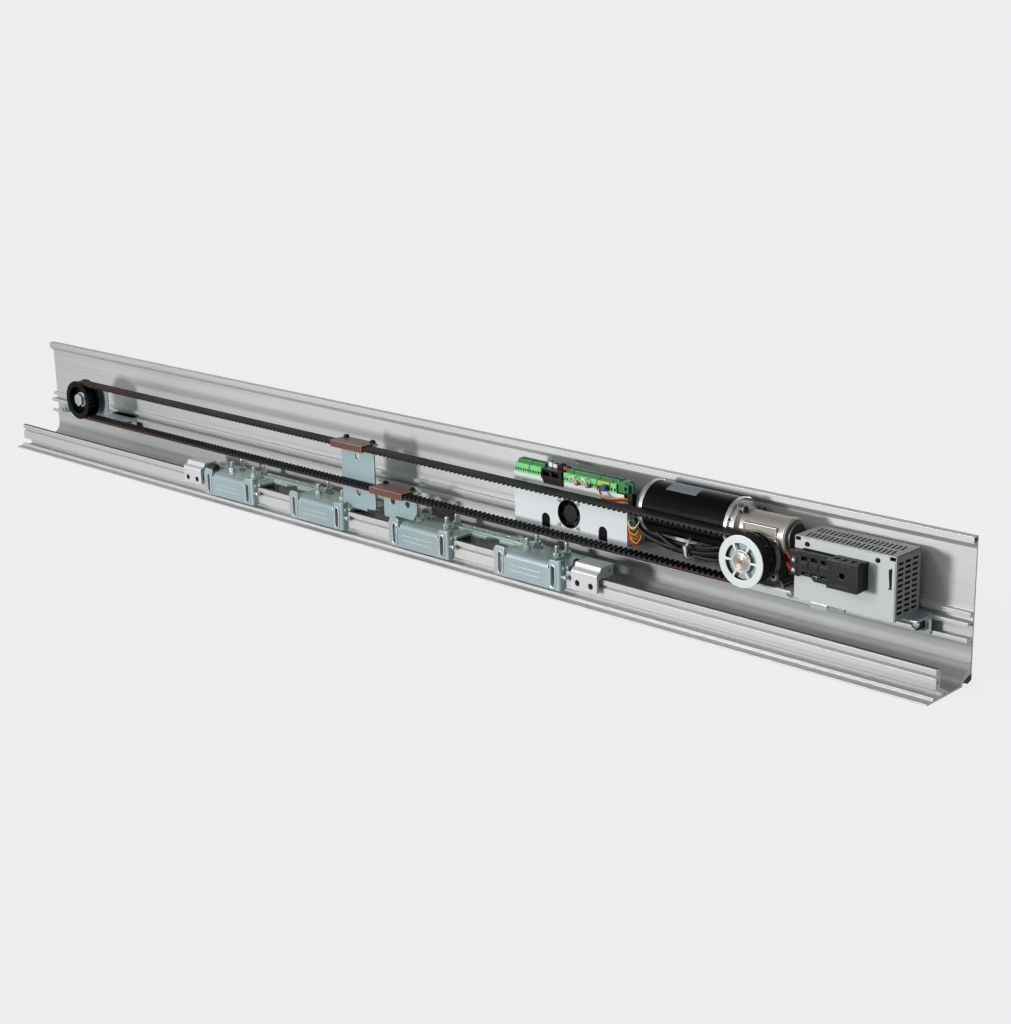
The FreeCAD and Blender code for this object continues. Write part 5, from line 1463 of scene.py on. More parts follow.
# Control unit
@dataclass
class ControlUnit:
    """Front plate, board, terminals, sockets, fan, wires and screws."""

    x: Pair = (250, 440)
    front: float = -50.0
    foot: float = 78.0
    top: float = 144.0
    fan_centre: Pair = (344, 102.7)
    fan_bore: float = 19.0
    arches: tuple[float, ...] = (304.5, 400.5)
    terminals: tuple[tuple[float, float, int], ...] = ((254, 279, 6), (280, 301, 5), (338, 350, 3),
                                                       (351, 393, 10), (394, 414, 5), (415, 425, 2))
    screws: tuple[Triple, ...] = ((268, -50, 135), (428, -50, 135), (713, -62, 139.5),
                                  (805, -62, 139.5))

    def build(self) -> None:
        """Make every piece of the unit."""
        self.panel()
        self.board()
        for number, (start, end, poles) in enumerate(self.terminals):
            self.terminal(number, start, end, poles)
        self.sockets()
        self.fan()
        self.small_screws()
        self.wiring()

    def panel(self) -> None:
        """Make the painted front plate with its arches."""
        outline = [(self.x[0], self.foot)]
        for middle in self.arches:
            outline.append((middle - 7, self.foot))
            outline += arc(middle, self.foot + 12, 7, 180, 0, 10)
            outline.append((middle + 7, self.foot))
        outline += [(self.x[1], self.foot), (self.x[1], self.top), (self.x[0], self.top)]
        holes = [Hole(*self.fan_centre, self.fan_bore, sides=48)]
        piece = Piece("control_panel").add(plate(XZ, outline, (self.front, self.front + 1.5), holes, 0.35),
                                           PANEL)
        for start in (self.x[0], self.x[1] - 1.5):
            piece.box((start, start + 1.5), (self.front + 0.4, self.front + 34), (self.foot, 132), 0.3, PANEL)
        # Near-black blocks behind the arches paint the shade under the plate
        for middle in self.arches:
            piece.add(block((middle - 9, middle + 9), (self.front + 1.6, self.front + 9),
                            (self.foot + 0.1, 99), 0.5), PAINTED_SHADE)
        piece.place("operator", "panel_paint", "controller_plate")

    def board(self) -> None:
        """Make the circuit board with the parts that stand on it."""
        piece = Piece("control_board")
        piece.box((252, 438), (-34.5, -32.9), (82, 157), 0.2, BOARD)
        for start, end in ((270, 289), (380, 399), (405, 424)):
            piece.box((start, end), (-43.5, -34.5), (90, 105), 0.5, CHARCOAL)
        piece.box((428, 449), (-48.5, -46.9), (148, 160), 0.2, BOARD)
        piece.box((434.5, 448), (-50, -41), (127, 147), 0.8, BLACK_MOULD)
        piece.box((426.5, 437), (-50.5, -34.5), (146, 159), 0.4, TERMINAL_DARK)
        piece.box((437.5, 444.5), (-53.5, -46.9), (148.5, 157.5), 0.4, TERMINAL_DARK)
        # A near-black patch paints the shade of the small block's opening
        piece.box((439, 443), (-53.9, -53.3), (150.5, 155.5), 0.2, PAINTED_SHADE)
        for start, tall, finish in ((305, 6, WHITE_PLUG), (313, 4.5, WHITE_PLUG), (321, 5.5, BLACK_MOULD),
                                    (329.5, 4, RED_PLUG)):
            piece.box((start, start + 6.5), (-44, -35), (157, 157 + tall), 0.4, finish)
            # Near-black patches paint the shade of the plugs' openings
            piece.box((start + 1.4, start + 5.1), (-42.5, -37), (157.1 + tall, 157.4 + tall), 0.1, PAINTED_SHADE)
        piece.box((441.5, 457), (-43, -41.4), (88, 117), 0.2, BOARD)
        for level in (92, 100, 108):
            piece.box((443.5, 450.5), (-46, -43), (level, level + 5), 0.4, TERMINAL_DARK)
        piece.place("operator", "board_green", "controller_board")

    def terminal(self, number: int, start: float, end: float, poles: int) -> None:
        """Make one plug-in terminal block.

        Args:
            number: its place in the row.
            start: its left end.
            end: its right end.
            poles: how many wires it takes.
        """
        piece = Piece("terminal_%d" % number)
        light = LIME if number == 4 else TERMINAL
        pitch = (end - start) / poles
        entries = [window((start + pitch * (pole + 0.2), start + pitch * (pole + 0.8)), (146.6, 150.4))
                   for pole in range(poles)]
        face = rectangle((start + 0.2, end - 0.2), (144.5, 156))
        piece.add(plate(XZ, face, (-52.5, -50.5), entries, 0.25), light)
        # A near-black box behind the wire entries paints the shade inside the block
        piece.box((start + 0.3, end - 0.3), (-50.6, -46.4), (144.6, 155.9), 0.2, PAINTED_SHADE)
        wells = [Hole(start + pitch * (pole + 0.5), -49.6, min(1.5, pitch * 0.33), sides=10)
                 for pole in range(poles)]
        piece.add(plate(XY, rectangle((start + 0.2, end - 0.2), (-52.3, -46.6)), (155, 156.3), wells, 0.2),
                  light)
        piece.box((start + 0.2, end - 0.2), (-46.6, -34.6), (144.5, 160), 0.5, TERMINAL_DARK)
        # Near-black patches paint the shade of the openings on top
        for pole in range(poles):
            middle = start + pitch * (pole + 0.5)
            piece.box((middle - pitch * 0.3, middle + pitch * 0.3), (-44, -39), (159.6, 160.15), 0.15, PAINTED_SHADE)
        piece.place("operator", "terminal_green", *(("terminal_blocks",) if number == 0 else ()))

    def sockets(self) -> None:
        """Make the twin data socket."""
        mouths = [window((304.6, 317.5), (147.5, 154.8)), window((320, 333), (147.5, 154.8))]
        piece = Piece("twin_socket")
        piece.add(plate(XZ, rectangle((302.1, 336), (144.5, 157)), (-55.5, -46), mouths, 0.4), BLACK_MOULD)
        piece.box((302.3, 335.8), (-46.2, -34.6), (144.6, 156.9), 0.3, BLACK_MOULD)
        shroud = plate(YZ, [(-55.5, 146), (-50.2, 136), (-50.2, 146)], (302.3, 335.8), (), 0.3)
        piece.add(shroud, BLACK_MOULD)
        for start in (304.6, 320):
            for pin in range(6):
                x = start + 2.6 + pin * 1.5
                piece.box((x, x + 0.6), (-53.5, -46.3), (152.6, 153.1), 0, COPPER)
        piece.place("operator", "black_plastic", "data_socket")

    def fan_corners(self) -> list[Pair]:
        """Give the places of the fan's four screws."""
        x, z = self.fan_centre
        return [(x + u, z + v) for u in (-16, 16) for v in (-16, 16)]

    def fan(self) -> None:
        """Make the fan's frame and rotor."""
        x, z = self.fan_centre
        start, end = self.front + 1.5, self.front + 11.5
        corners = [Hole(u, v, 1.8, sides=12) for u, v in self.fan_corners()]
        outline = rectangle((x - 20, x + 20), (z - 20, z + 20))
        holes = [Hole(x, z, self.fan_bore, sides=48)] + corners
        piece = Piece("fan_housing").add(plate(XZ, outline, (start, end), holes, 0.5), BLACK_MOULD)
        # A near-black disc behind the rotor paints the shade inside the fan
        piece.add(rod(XZ, (x, end + 0.1, z), 19.4, 0.6, 0), PAINTED_SHADE)
        funnel = [(0, 17.8), (0, 18.8), (1.6, 19), (1.6, 17.6), (0, 17.8)]
        piece.add(lathe(XZ, (x, start - 1.6, z), funnel, 0.2, 48), BLACK_MOULD)
        for turn in range(4):
            bar = block((-1.1, 1.1), (end - 1.6, end), (10, 19.2), 0.2)
            turned = Matrix.Rotation(math.radians(45 + 90 * turn), 3, "Y")
            bmesh.ops.rotate(bar, cent=(0, 0, 0), matrix=turned, verts=bar.verts[:])
            piece.add(moved(bar, x, 0, z), BLACK_MOULD)
            bar.free()
        piece.add(rod(XZ, (x, end - 1.6, z), 10.6, 1.6, 0.2), BLACK_MOULD)
        piece.add(rod(XZ, (x, end - 4, z), 1.4, 3, 0.1, 12), BLACK_STEEL)
        piece.place("operator", "black_plastic", "fan_frame")
        rotor = Piece("fan_blades").add(copy_of("fan_rotor", 0.15), BLACK_MOULD)
        rotor.box((x + 8, x + 12), (start + 3.2, start + 3.6), (z + 11, z + 13), 0.1, RED_PLUG)
        rotor.place("fan", "black_plastic", "fan_rotor")

    def small_screws(self) -> None:
        """Make the pan-head screws of the unit, the fan and the power supply."""
        piece = Piece("pan_screws")
        spots = list(self.screws) + [(u, self.front, v) for u, v in self.fan_corners()]
        for spot in spots:
            dark = spot[1] < -55
            head, recess = cap_screw(XZ, spot, 2.8, 2, -1)
            # The recess disc is painted shade
            piece.add(head, BLACK_STEEL if dark else BRIGHT_ZINC).add(recess, PAINTED_SHADE)
        piece.place("operator", "zinc", "machine_screws")

    def wiring(self) -> None:
        """Make the short wires at the terminals and beside the unit."""
        piece = Piece("terminal_wires")
        for x in (359, 377):
            loop = [(x - 3.5, -52, 148.5), (x - 4, -57, 147.5), (x - 4.5, -59.5, 152), (x - 2, -60, 157),
                    (x + 2.5, -60, 156), (x + 5.5, -59.5, 150), (x + 5, -57, 146), (x + 4.5, -52, 147)]
            piece.add(wire(loop, 0.9), WHITE_WIRE)
            piece.box((x + 2.4, x + 7.4), (-58.5, -52.4), (144.8, 148.4), 0.5, RED_PLUG)
            piece.box((x - 5.6, x - 1.6), (-56, -52.4), (147, 150.4), 0.5, WHITE_PLUG)
        piece.box((405, 412.5), (-60, -52.4), (146, 153.5), 0.6, BLUE_PLUG)
        piece.box((398, 404), (-58.5, -52.4), (145, 150), 0.6, BLACK_MOULD)
        strands = ((YELLOW_WIRE, 0), (RED_WIRE, 1.8), (ORANGE_WIRE, 3.4), (WHITE_WIRE, 5))
        for finish, drop in strands:
            over = [(400 + drop, -57, 149 - drop * 0.4), (404 + drop, -62, 144 - drop),
                    (413, -63, 139 - drop), (424, -61, 139 - drop), (434, -56, 141 - drop),
                    (441, -50, 140 - drop), (446, -44, 132 - drop), (448, -42, 122)]
            piece.add(wire(over, 0.8), finish)
        knots = ((WHITE_WIRE, 442.5, 112, 0), (ORANGE_WIRE, 441.5, 110, 2), (YELLOW_WIRE, 443, 104, 4),
                 (RED_WIRE, 441, 97, 1), (ORANGE_WIRE, 444, 99, 5), (YELLOW_WIRE, 446, 94, 3),
                 (RED_WIRE, 443.5, 91, 6))
        for finish, x, level, swell in knots:
            curl = [(x, -45, level), (x - 1, -50, level + 1),
                    (x + 2 + swell * 0.3, -52 - swell * 0.4, level - 4), (x + 7 + swell, -52, level - 8),
                    (x + 12, -49, level - 5), (x + 13, -45, level + 1), (x + 11, -41, level + 6)]
            piece.add(wire(curl, 0.8), finish)
        piece.place("operator", "cable_black")


# Power supply
@dataclass
class PowerSupply:
    """Chassis, slotted cover, mains connectors and brackets."""

    x: Pair = (697, 827)
    y: Pair = (-62, -12)
    z: Pair = (73, 146)
    sheet: float = 1.2
    top_slots: int = 20
    side_slots: int = 10

    def build(self) -> None:
        """Make every piece of the supply."""
        self.case()
        self.cover()
        self.connectors()
        self.brackets()

    def case(self) -> None:
        """Make the painted front, and a near-black box in the case that paints the shade of its hollow
        inside.
        """
        (left, right), (front, back), (low, high) = self.x, self.y, self.z
        notch = [(left, low), (right, low), (right, high - 4), (right - 7, high - 4), (right - 7, high),
                 (left + 7, high), (left + 7, high - 4), (left, high - 4)]
        holes = [Hole(right - 5, low + 48, 1.2, 11, sides=12),
                 window((right - 8, right - 6.4), (low + 57, low + 58.4)),
                 window((right - 8, right - 6.4), (low + 36, low + 37.4))]
        piece = Piece("supply_case")
        piece.add(plate(XZ, notch, (front, front + self.sheet), holes, 0.3), SUPPLY_PAINT)
        piece.box(self.x, (front + 0.6, back), (low, low + self.sheet), 0.3, SUPPLY_PAINT)
        # Near-black box: painted shade inside the case, seen through its slots
        piece.box((left + 4, right - 4), (front + 3, back - 3), (low + 2, high - 5), 0.5, PAINTED_SHADE)
        piece.place("operator", "panel_paint", "psu_case")

    def cover(self) -> None:
        """Make the slotted cover over the top, the back and both ends."""
        (left, right), (front, back), (low, high) = self.x, self.y, self.z
        sheet = self.sheet
        vents = [Hole(left + 10 + step * 5.75, front + 13.5 + row * 20.5, 1.45, 7.2, 7, 10)
                 for row in range(2) for step in range(self.top_slots)]
        piece = Piece("supply_cover")
        # The cover's darker grey also paints the shade on the top and ends
        top = plate(XY, rectangle((left - sheet, right + sheet), (front + 0.6, back)), (high, high + sheet),
                    vents, 0.3)
        piece.add(top, COVER_GREY_AND_SHADE)
        louvres = [Hole(front + 10 + column * 14.6, low + 8 + step * 6.3, 1.7, 4.4, 86, 10)
                   for column in range(3) for step in range(self.side_slots)]
        for start in (left - sheet, right):
            ends = plate(YZ, rectangle((front + 0.6, back), (low, high + sheet)), (start, start + sheet),
                         louvres, 0.3)
            piece.add(ends, COVER_GREY_AND_SHADE)
        piece.box((left - sheet, right + sheet), (back - 1, back), (low, high), 0.2, COVER_GREY_AND_SHADE)
        piece.place("operator", "cover_grey", "psu_cover")

    def connectors(self) -> None:
        """Make the mains connector with its plug, and the two ball terminals."""
        left, front, low = self.x[0], self.y[0], self.z[0] + 29
        piece = Piece("mains_plug")
        shallow, deep = (left + 12, left + 57), (left + 57, left + 97)
        cells = [window((shallow[0] + 5 + 13 * step, shallow[0] + 13 + 13 * step),
                        (low + 4 + rise, low + 9 + rise)) for step in range(3) for rise in (0, 18)]
        outline = [(shallow[0], low + 33), (shallow[0], low + 5), (shallow[0] + 22, low + 5),
                   (shallow[0] + 22, low), (shallow[1], low), (shallow[1], low + 33)]
        piece.add(plate(XZ, outline, (front - 12.5, front - 9), cells, 0.5), CHARCOAL)
        # A near-black box behind the socket's cells paints the shade inside
        piece.box((shallow[0] + 0.4, shallow[1]), (front - 9.2, front), (low + 5.4, low + 32.6), 0.4, PAINTED_SHADE)
        for step in range(3):
            x = shallow[0] + 4 + 13.5 * step
            piece.box((x, x + 10), (front - 13.6, front - 12.3), (low + 12, low + 20), 0.5, CHARCOAL)
        hole = Hole(left + 77, low + 18, 3.6, sides=20)
        piece.add(plate(XZ, rectangle(deep, (low + 1, low + 34)), (front - 22.5, front - 12), [hole], 0.8),
                  CHARCOAL)
        piece.box((deep[0] + 0.4, deep[1] - 0.4), (front - 12.2, front), (low + 1.4, low + 33.6), 0.5,
                  CHARCOAL)
        for rise in (4, 28):
            piece.add(block((deep[0] + 6, deep[1] - 6), (front - 23, front - 22.2),
                            (low + rise, low + rise + 2.4), 0.3), CHARCOAL)
        # Near-black patches paint the shade of the slots on top
        for step in range(4):
            x = deep[0] + 5 + 10.5 * step
            piece.box((x, x + 5), (front - 17, front - 9), (low + 33.6, low + 34), 0.1, PAINTED_SHADE)
        piece.box((left - 1, left + 12.5), (front - 10, front), (low + 1, low + 31), 0.8, BLACK_MOULD)
        for level in (low + 8.5, low + 20.5):
            ball = fresh()
            bmesh.ops.create_uvsphere(ball, u_segments=24, v_segments=14, radius=3.3,
                                      matrix=Matrix.Translation((left + 6.5, front - 11.5, level)))
            piece.add(ball, WHITE_BALL)
            piece.add(rod(XZ, (left + 6.5, front - 11, level), 4.6, 3, 0.4, 20), BLACK_MOULD)
        piece.place("operator", "black_plastic", "mains_block")

    def brackets(self) -> None:
        """Make the two angle brackets in the slot."""
        left, right = self.x
        low = self.z[0]
        piece = Piece("supply_brackets")
        tear = [(right + 18, low + 1.8), (right + 13.5, low + 1.8), (right + 1, low - 9.5)]
        tear += arc(right + 6.5, AT.slot_mid - 1, 10.5, 160, 270, 8) + arc(right + 14, 53.4, 4, -90, 0, 4)
        bolt = Hole(right + 5, AT.slot_mid, 4.3, sides=18)
        piece.add(plate(XZ, tear, (-14, -11.5), [bolt], 0.4), ZINC)
        piece.add(plate(XZ, rectangle((left + 3, left + 35), (AT.slot_low, low)), (-14, -11.5),
                        [Hole(left + 19, AT.slot_mid, 4.3, sides=18)], 0.4), ZINC)
        piece.box((right - 20, right + 18), (-43.5, -13), (low - 2.5, low), 0.4, ZINC)
        tab = [(left + 3, -13), (left + 35, -13), (left + 35, -43.5), (left + 44, -52), (left + 44, -61),
               (left + 22, -61), (left + 22, -52), (left + 3, -43.5)]
        piece.add(plate(XY, tab, (low - 2.5, low), (), 0.4), TEAL_ZINC)
        lip = [(left + 22, low)] + arc(left + 25, low - 3.8, 3, 180, 270, 4)
        lip += arc(left + 41, low - 3.8, 3, -90, 0, 4) + [(left + 44, low)]
        piece.add(plate(XZ, lip, (-62.4, -60.2), (), 0.4), BRIGHT_ZINC)
        piece.place("operator", "zinc", "psu_bracket")


# Carriages of one leaf
class Side(Enum):
    """The two leaves: the places of their carriages, the start of their belt clamp and its levels."""

    LEFT = ((-367, -167), -65, (133.1, 142.8))
    RIGHT = ((44.5, 244.5), 12, (79.2, 88.9))


@dataclass
class Leaf:
    """Carriages, link bar, belt plate and clamp of one leaf."""

    side: Side
    left: float = -4.0
    length: float = 112.0
    front: float = -82.0
    back: float = -79.0
    foot: float = 10.5
    slot_inset: float = 8.0
    far_slot: float = 100.0
    slot_width: float = 6.5
    slot_height: float = 28.0
    rim: float = 2.3
    bend_take: float = 3.93
    clamp_length: float = 64.0
    clamp_skin: float = 1.6
    clamp_screws: Pair = (6, 60)

    @property
    def slot_reach(self) -> float:
        """Half the straight part of an upright slot."""
        return self.slot_height / 2 - self.slot_width / 2

    @property
    def slot_level(self) -> float:
        """The level of the middle of an upright slot."""
        return self.foot + 3.5 + self.slot_height / 2

    def build(self) -> None:
        """Make every piece of the leaf."""
        word = self.side.name.lower()
        body = word + "_leaf"
        first = 1 if self.side is Side.LEFT else 3
        shape = self.hanger()
        sole = self.base_plate()
        starts, grip, levels = self.side.value
        for number, start in enumerate(starts, first):
            hanger = Piece("door_hanger_%d" % number).add(moved(shape, start), ZINC)
            self.flange(hanger, start)
            self.rims(hanger, start)
            hanger.place(body, "zinc", "hanger_%d" % number)
            carriage = Piece("carriage_plate_%d" % number).add(moved(sole, start), TEAL_ZINC)
            self.leg(carriage, start)
            carriage.place(body, "zinc", "base_plate_%d" % number)
            dress("roller_%d" % (2 * number - 1), ROLLER)
            dress("roller_%d" % (2 * number), ROLLER)
        shape.free()
        sole.free()
        dress("axle_pins_" + word, BRIGHT_ZINC)
        self.link(word, body)
        self.studs(word, body)
        if self.side is Side.LEFT:
            self.belt_plate("tall", body, (-65, 2), (-47, -16), (2, 2), 141.195,
                            [(-32.2, 68), (-32.2, 120.2)])
            self.clamp("upper", body, grip, levels)
        else:
            self.belt_plate("short", body, (20, 85), (20, 42.5), (8, 12), 87.305,
                            [(37.6, 68), (66.8, 68)])
            self.clamp("lower", body, grip, levels)

    def hanger(self) -> Mesh:
        """Make the folded hanger: front plate with ears, top flange and end flange.

        Returns:
            The hanger at the start of the profile's middle.
        """
        top, ear = AT.flange_top, AT.flange_top + 4.5
        left, bend = self.left, self.length - 4
        outline = [(left, self.foot + 1.5), (left + 1.5, self.foot), (bend + 9.9, self.foot),
                   (bend + 9.9, ear + 1)]
        outline += [(bend - 0.6, ear + 1), (bend - 1, ear - 1), (bend - 3, ear), (95.8, ear), (93.8, ear - 2)]
        outline += arc(92.2, 37.8, 1.3, 0, -180, 4)
        outline += [(90.9, 47.5), (18, 47.5), (18, 37.8)]
        outline += arc(16.7, 37.8, 1.1, 0, -180, 4)
        outline += [(15, ear - 2), (13, ear), (left + 4.5, ear), (left + 2.5, ear - 2), (left, top - 2)]
        holes = [Hole(x, self.slot_level, self.slot_width / 2, self.slot_reach, sides=20)
                 for x in (self.slot_inset, self.far_slot)]
        sheet = plate(XZ, outline, (self.front, self.back), holes, 0.35)
        top_fold = Fold((0, -80.5, 36.5), (0, 0, 1), (0, 1, 0), 7, steps=8)
        top_fold.bend(sheet, lambda spot: 17.4 < spot.x < 91.4)
        Fold((bend, -80.5, 0), (1, 0, 0), (0, 1, 0), 2.5).bend(sheet)
        return sheet

    def flange(self, piece: Piece, start: float) -> None:
        """Add the flat top flange behind the bend.

        Args:
            piece: the hanger.
            start: its place.
        """
        outline = rectangle((start + 18, start + 90.9), (-73.6, -46.4))
        holes = [Hole(start + x, AT.front_studs, 3.2, sides=16) for x in AT.stud_spots]
        piece.add(plate(XY, outline, (AT.flange_top - 2.98, AT.flange_top + 0.02), holes, 0.3), TEAL_ZINC)

    def rims(self, piece: Piece, start: float) -> None:
        """Add the raised rims of the two slots and the bolt in the end flange.

        Args:
            piece: the hanger.
            start: its place.
        """
        level, reach, wide = self.slot_level, self.slot_reach, self.slot_width / 2 + self.rim
        for x in (start + self.slot_inset, start + self.far_slot):
            outline = arc(x, level + reach, wide, 0, 180, 10) + arc(x, level - reach, wide, 180, 360, 10)
            slot = Hole(x, level, self.slot_width / 2, reach, sides=20)
            piece.add(plate(XZ, outline, (self.front - 1.4, self.front + 0.2), [slot], 0.55), BRIGHT_ZINC)
        end = start + self.length
        piece.add(rod(YZ, (end - 0.2, -77.6, 29), 2.4, 8, 0.3, 16), BRIGHT_ZINC)
        piece.add(rod(YZ, (end + 5, -77.6, 29), 3.8, 2.6, 0.5, 20), BRIGHT_ZINC)
        for rise in (20.5, 27.5):
            rib = block((start + 24, start + 78), (self.front - 0.35, self.front + 0.2), (rise, rise + 1.1),
                        0.3)
            piece.add(rib, BRIGHT_ZINC)

    def base_plate(self) -> Mesh:
        """Make the flat carriage plate with its tapered ends.

        Returns:
            The plate at the start of the profile's middle.
        """
        outline = [(0, -78), (114, -78), (114, -73), (118, -73), (118, -46), (146, -46),
                   (153, -38.3), (153, -24), (-35, -24), (-35, -38.3), (-28, -46), (0, -46)]
        holes = [Hole(x, y, 3, sides=16) for x in AT.stud_spots for y in (AT.front_studs, AT.rear_studs)]
        holes += [Hole(-17.5, -35, 3, sides=16), Hole(135.5, -35, 3, sides=16)]
        return plate(XY, outline, (38, 42), holes, 0.5)

    def leg(self, piece: Piece, start: float) -> None:
        """Add the leg that holds the roller pins.

        Args:
            piece: the carriage plate.
            start: its place.
        """
        shape = ((0, 38.2), (0, 10.3), (30, 10.3), (38, 28.3), (80, 28.3), (88, 10.3), (118, 10.3),
                 (118, 38.2))
        outline = [(start + u, v) for u, v in shape]
        holes = [Hole(start + x, 18.3, 4, sides=20) for x in (15, 103)]
        piece.add(plate(XZ, outline, (-44, -41), holes, 0.4), TEAL_ZINC)

    def link(self, word: str, body: str) -> None:
        """Make the perforated bar between the two carriages.

        Args:
            word: the leaf's name.
            body: the body that it rides on.
        """
        first, second = self.side.value[0]
        left, right = first + AT.stud_spots[1], second + AT.stud_spots[0]
        outline = arc(left, AT.rear_studs, 8, 90, 270, 8) + arc(right, AT.rear_studs, 8, -90, 90, 8)
        holes = [Hole(left, AT.rear_studs, 3.2, sides=16), Hole(right, AT.rear_studs, 3.2, sides=16)]
        holes += [Hole(left - 10 + (right - left + 20) * step / 8, AT.rear_studs, 2.7, sides=14)
                  for step in range(1, 8)]
        bar = plate(XY, outline, (AT.plate_top, AT.flange_top), holes, 0.4)
        Piece("link_strip_" + word).add(bar, TEAL_ZINC).place(body, "zinc", "link_bar_" + word)

    def studs(self, word: str, body: str) -> None:
        """Make the studs with their nuts, and the clamp's cap screws.

        Args:
            word: the leaf's name.
            body: the body that they ride on.
        """
        piece = Piece("carriage_studs_" + word)
        starts, grip, levels = self.side.value
        for index, start in enumerate(starts):
            for place, x in enumerate(AT.stud_spots):
                self.stud(piece, start + x, AT.front_studs, AT.flange_top)
                self.stud(piece, start + x, AT.rear_studs, AT.flange_top if place != index else AT.plate_top)
        for shift in self.clamp_screws:
            head, recess = cap_screw(XY, (grip + shift, -64, levels[1]), 4, 3.5, 1)
            # The recess disc is painted shade
            piece.add(head, BLACK_STEEL).add(recess, PAINTED_SHADE)
            piece.add(thread(XY, (grip + shift, -64, levels[1] - 7), 2.55, 7), BLACK_STEEL)
        piece.place(body, "zinc", "leaf_bolts_" + word)

    def stud(self, piece: Piece, x: float, y: float, seat: float) -> None:
        """Add one stud with its flanged nut.

        Args:
            piece: the set of studs.
            x: its place along the profile.
            y: its place from front to back.
            seat: the level that its nut sits on.
        """
        piece.add(thread(XY, (x, y, 38.1), 2.98, 16, 1.25), BRIGHT_ZINC)
        piece.add(rod(XY, (x, y, 54), 2.9, 5, 0.5, 20), BRIGHT_ZINC)
        piece.add(hex_nut(XY, (x, y, seat), 9.9, 4.9), BRIGHT_ZINC)

    def belt_plate(self, word: str, body: str, x: Pair, tongue: Pair, chamfer: Pair, top: float,
                   spots: Sequence[Pair]) -> None:
        """Make the upright plate that ties the carriage to the belt.

        Args:
            word: which plate it is.
            body: the body that it rides on.
            x: its span along the profile.
            tongue: the span of its foot.
            chamfer: the width and height of its lower right corner's cut.
            top: its top level.
            spots: the places of its holes.
        """
        head, waist = self.side.value[1], 48
        low = 46 - self.bend_take - 40
        fold = top - 4
        high = fold + self.bend_take + 6
        outline = [(tongue[0], low), (tongue[1], low), (tongue[1], waist), (x[1] - chamfer[0], waist),
                   (x[1], waist + chamfer[1]), (x[1], high), (head, high), (head, top - 0.05)]
        if tongue[0] > x[0]:
            outline += [(x[0], waist + 2), (x[0] + 2, waist), (tongue[0], waist)]
        else:
            outline.append((x[0], top - 0.1))
        holes = [Hole(u, v, 5, sides=20) for u, v in spots]
        holes += [Hole(head + shift, fold + self.bend_take + 2, 2.6, sides=12) for shift in self.clamp_screws]
        sheet = plate(XZ, outline, (-70, -67), holes, 0.35)
        Fold((0, -68.5, fold), (0, 0, 1), (0, 1, 0), 2.5).bend(sheet)
        Fold((0, -68.5, 46), (0, 0, -1), (0, 1, 0), 2.5).bend(sheet)
        Piece("belt_arm_" + word).add(sheet, ZINC).place(body, "zinc", "belt_plate_" + word)

    def clamp(self, word: str, body: str, start: float, z: Pair) -> None:
        """Make the folded brown clamp on the belt.

        Args:
            word: which clamp it is.
            body: the body that it rides on.
            start: its left end.
            z: its lowest and highest levels.
        """
        skin = self.clamp_skin
        low, high = z
        section = [(-89.45, low), (-72.6, low), (-72.6, low + skin), (-87.85, low + skin),
                   (-87.85, high - skin), (-60, high - skin), (-60, high), (-89.45, high)]
        channel = plate(YZ, section, (start, start + self.clamp_length), (), 0.45)
        Piece("belt_grip_" + word).add(channel, COPPER).place(body, "copper_plate", "belt_clamp_" + word)


# End stops
@dataclass
class EndStop:
    """Stop block over the rail with its set screws and buffer."""

    word: str
    x: float
    buffer_x: float
    length: float = 42.0

    def build(self) -> None:
        """Make the block, the screws and the buffer."""
        start, end = self.x, self.x + self.length
        body = self.word + "_stop"
        section = [(-50.5, 37.6), (-50.5, 52.6), (-72, 52.6), (-73.4, 51.8), (-75, 47.6), (-80.2, 45.4),
                   (-82, 43), (-82, 20.7), (-77.5, 20.7), (-77.5, 37.6)]
        block_shape = plate(YZ, section, (start, end), [Hole(-56.5, 45.6, 2.5, sides=16)], 0.5)
        piece = Piece("stop_block_" + self.word).add(block_shape, STOP_ALLOY)
        piece.box((start + 0.6, end - 0.6), (-76.2, -74.6), (46.2, 47.4), 0.3, STOP_ALLOY)
        piece.place(body, "stop_alloy", "stop_" + self.word)
        screws = Piece("set_screws_" + self.word)
        for x in (start + 10, start + 32):
            rim = [(0, 1.9), (0, 3.6), (0.5, 4.1), (1.4, 4.1), (1.4, 3), (9.3, 3), (9.3, 0)]
            screws.add(lathe(XZ, (x, -82.4, 28.2), rim, 0.1, 24), BLACK_STEEL)
            # A near-black hexagon paints the shade in each screw's key hole
            screws.add(rod(XZ, (x, -82.2, 28.2), 2, 1, 0, 6), PAINTED_SHADE)
        screws.place(body, "black_steel", "stop_%s_screws" % self.word)
        cushion = [(0, 0), (0, 5.2), (0.9, 6), (5.6, 6), (6.2, 5.6), (6.8, 6), (11.6, 6), (12.5, 5.2),
                   (12.5, 0)]
        buffer = Piece("stop_cushion_" + self.word)
        buffer.add(lathe(YZ, (self.buffer_x, -60.4, 44.6), cushion, 0.3, 32), SEAL)
        buffer.place(body, "seal_rubber", "stop_%s_buffer" % self.word)


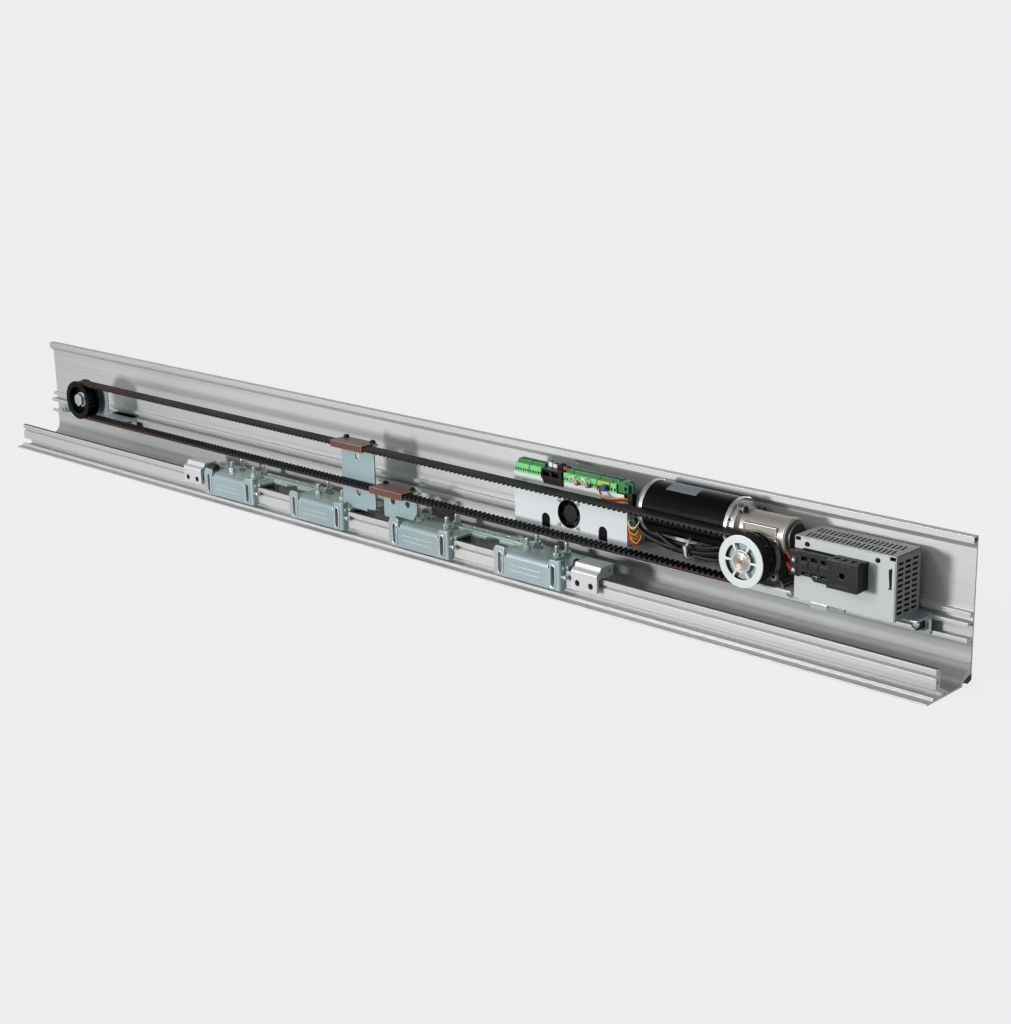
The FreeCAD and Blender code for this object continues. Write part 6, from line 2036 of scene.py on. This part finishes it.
# Cables
@dataclass
class Cables:
    """Motor cable and the supply's red leads, along the routes of their solids."""

    harness_length: float = 0.172
    span: Pair = (440, 606.2)

    def build(self) -> None:
        """Lay the cables and their tie."""
        start, end = self.span
        shares = ((0.03, 0, 36), (0.096, -2, 29), (0.193, -5, 19), (0.325, -6, 13), (0.5, -6, 11),
                  (0.67, -4, 11), (0.85, 0, 17), (1, 0, 17))
        points = [(start + share * (end - start), -37 + y, 78 + z) for share, y, z in shares]
        cable = self.lay("motor_cable", points, 5, CABLE, "harness")
        for number, drop in enumerate((0, 12)):
            spots = ((-13, 4, 50), (-10, 0, 51), (-6, -4, 50), (-2, -6, 47), (1, -6, 43))
            lead = [(697 + x, -62 + y, 73 + z - drop) for x, y, z in spots]
            self.lay("supply_lead_%d" % number, lead, 1.5, RED_WIRE, "power_leads")
        self.strands()

    def metres(self, spot: Triple) -> Triple:
        """Give a profile point in the part's metres."""
        return tuple(TO_PART @ Vector(spot))

    def lay(self, title: str, points: Sequence[Triple], radius: float, finish: Finish,
            node: str) -> bpy.types.Object:
        """Lay one cable as a smooth curve.

        Args:
            title: its name.
            points: its route in profile millimetres.
            radius: its radius.
            finish: its finish.
            node: the solid that it stands for.

        Returns:
            The cable.
        """
        curve = route(title, [self.metres(spot) for spot in points], radius * MILLIMETRE)
        curve.materials.append(finish.material())
        item = show(title, curve)
        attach(item, "operator")
        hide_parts(node)
        log.info("%s: laid", title)
        return item

    def strands(self) -> None:
        """Add the thinner loops beside the motor cable, and the tie around them."""
        piece = Piece("motor_strands")
        loops = (
            ((446, -45, 116), (452, -47, 108), (466, -49, 100), (486, -50, 95), (512, -50, 92),
             (540, -49, 92), (566, -50, 95), (590, -52, 101), (600, -48, 106)),
            ((448, -38, 124), (456, -44, 113), (474, -46, 104), (500, -46, 99), (528, -45, 97),
             (556, -45, 99), (580, -47, 105), (596, -44, 112)),
            ((447, -32, 120), (458, -34, 106), (480, -40, 97), (508, -43, 93.5), (536, -43, 93),
             (562, -42, 96), (584, -38, 104), (598, -33, 110)),
            ((470, -42, 116), (484, -52, 110), (504, -54, 100), (520, -52, 93), (540, -46, 87),
             (566, -45, 86), (590, -46, 92), (606, -44, 100)))
        for loop in loops:
            piece.add(wire(loop, 2.3), CABLE)
        piece.add(ring(YZ, (534, -46, 93.5), (10.4, 11.3), 3.4, 0.2, 32), TIE)
        piece.box((533.4, 538), (-58.4, -54.6), (96, 100.5), 0.4, TIE)
        piece.place("operator", "cable_black")


def build_all() -> Iterator[object]:
    """Name every sub-assembly in the order that it is built."""
    yield Studio()
    yield Cables()
    yield Carrier()
    yield SlotFasteners()
    yield BeltDrive()
    yield MotorUnit()
    yield ControlUnit()
    yield PowerSupply()
    yield Leaf(Side.LEFT)
    yield Leaf(Side.RIGHT)
    yield EndStop("left", -422, -379.5)
    yield EndStop("right", 375.5, 363)


def main() -> None:
    """Build and dress the operator."""
    logging.basicConfig(level=logging.INFO, format="%(name)s %(message)s")
    for assembly in build_all():
        assembly.build()


if __name__ == "__main__":
    main()
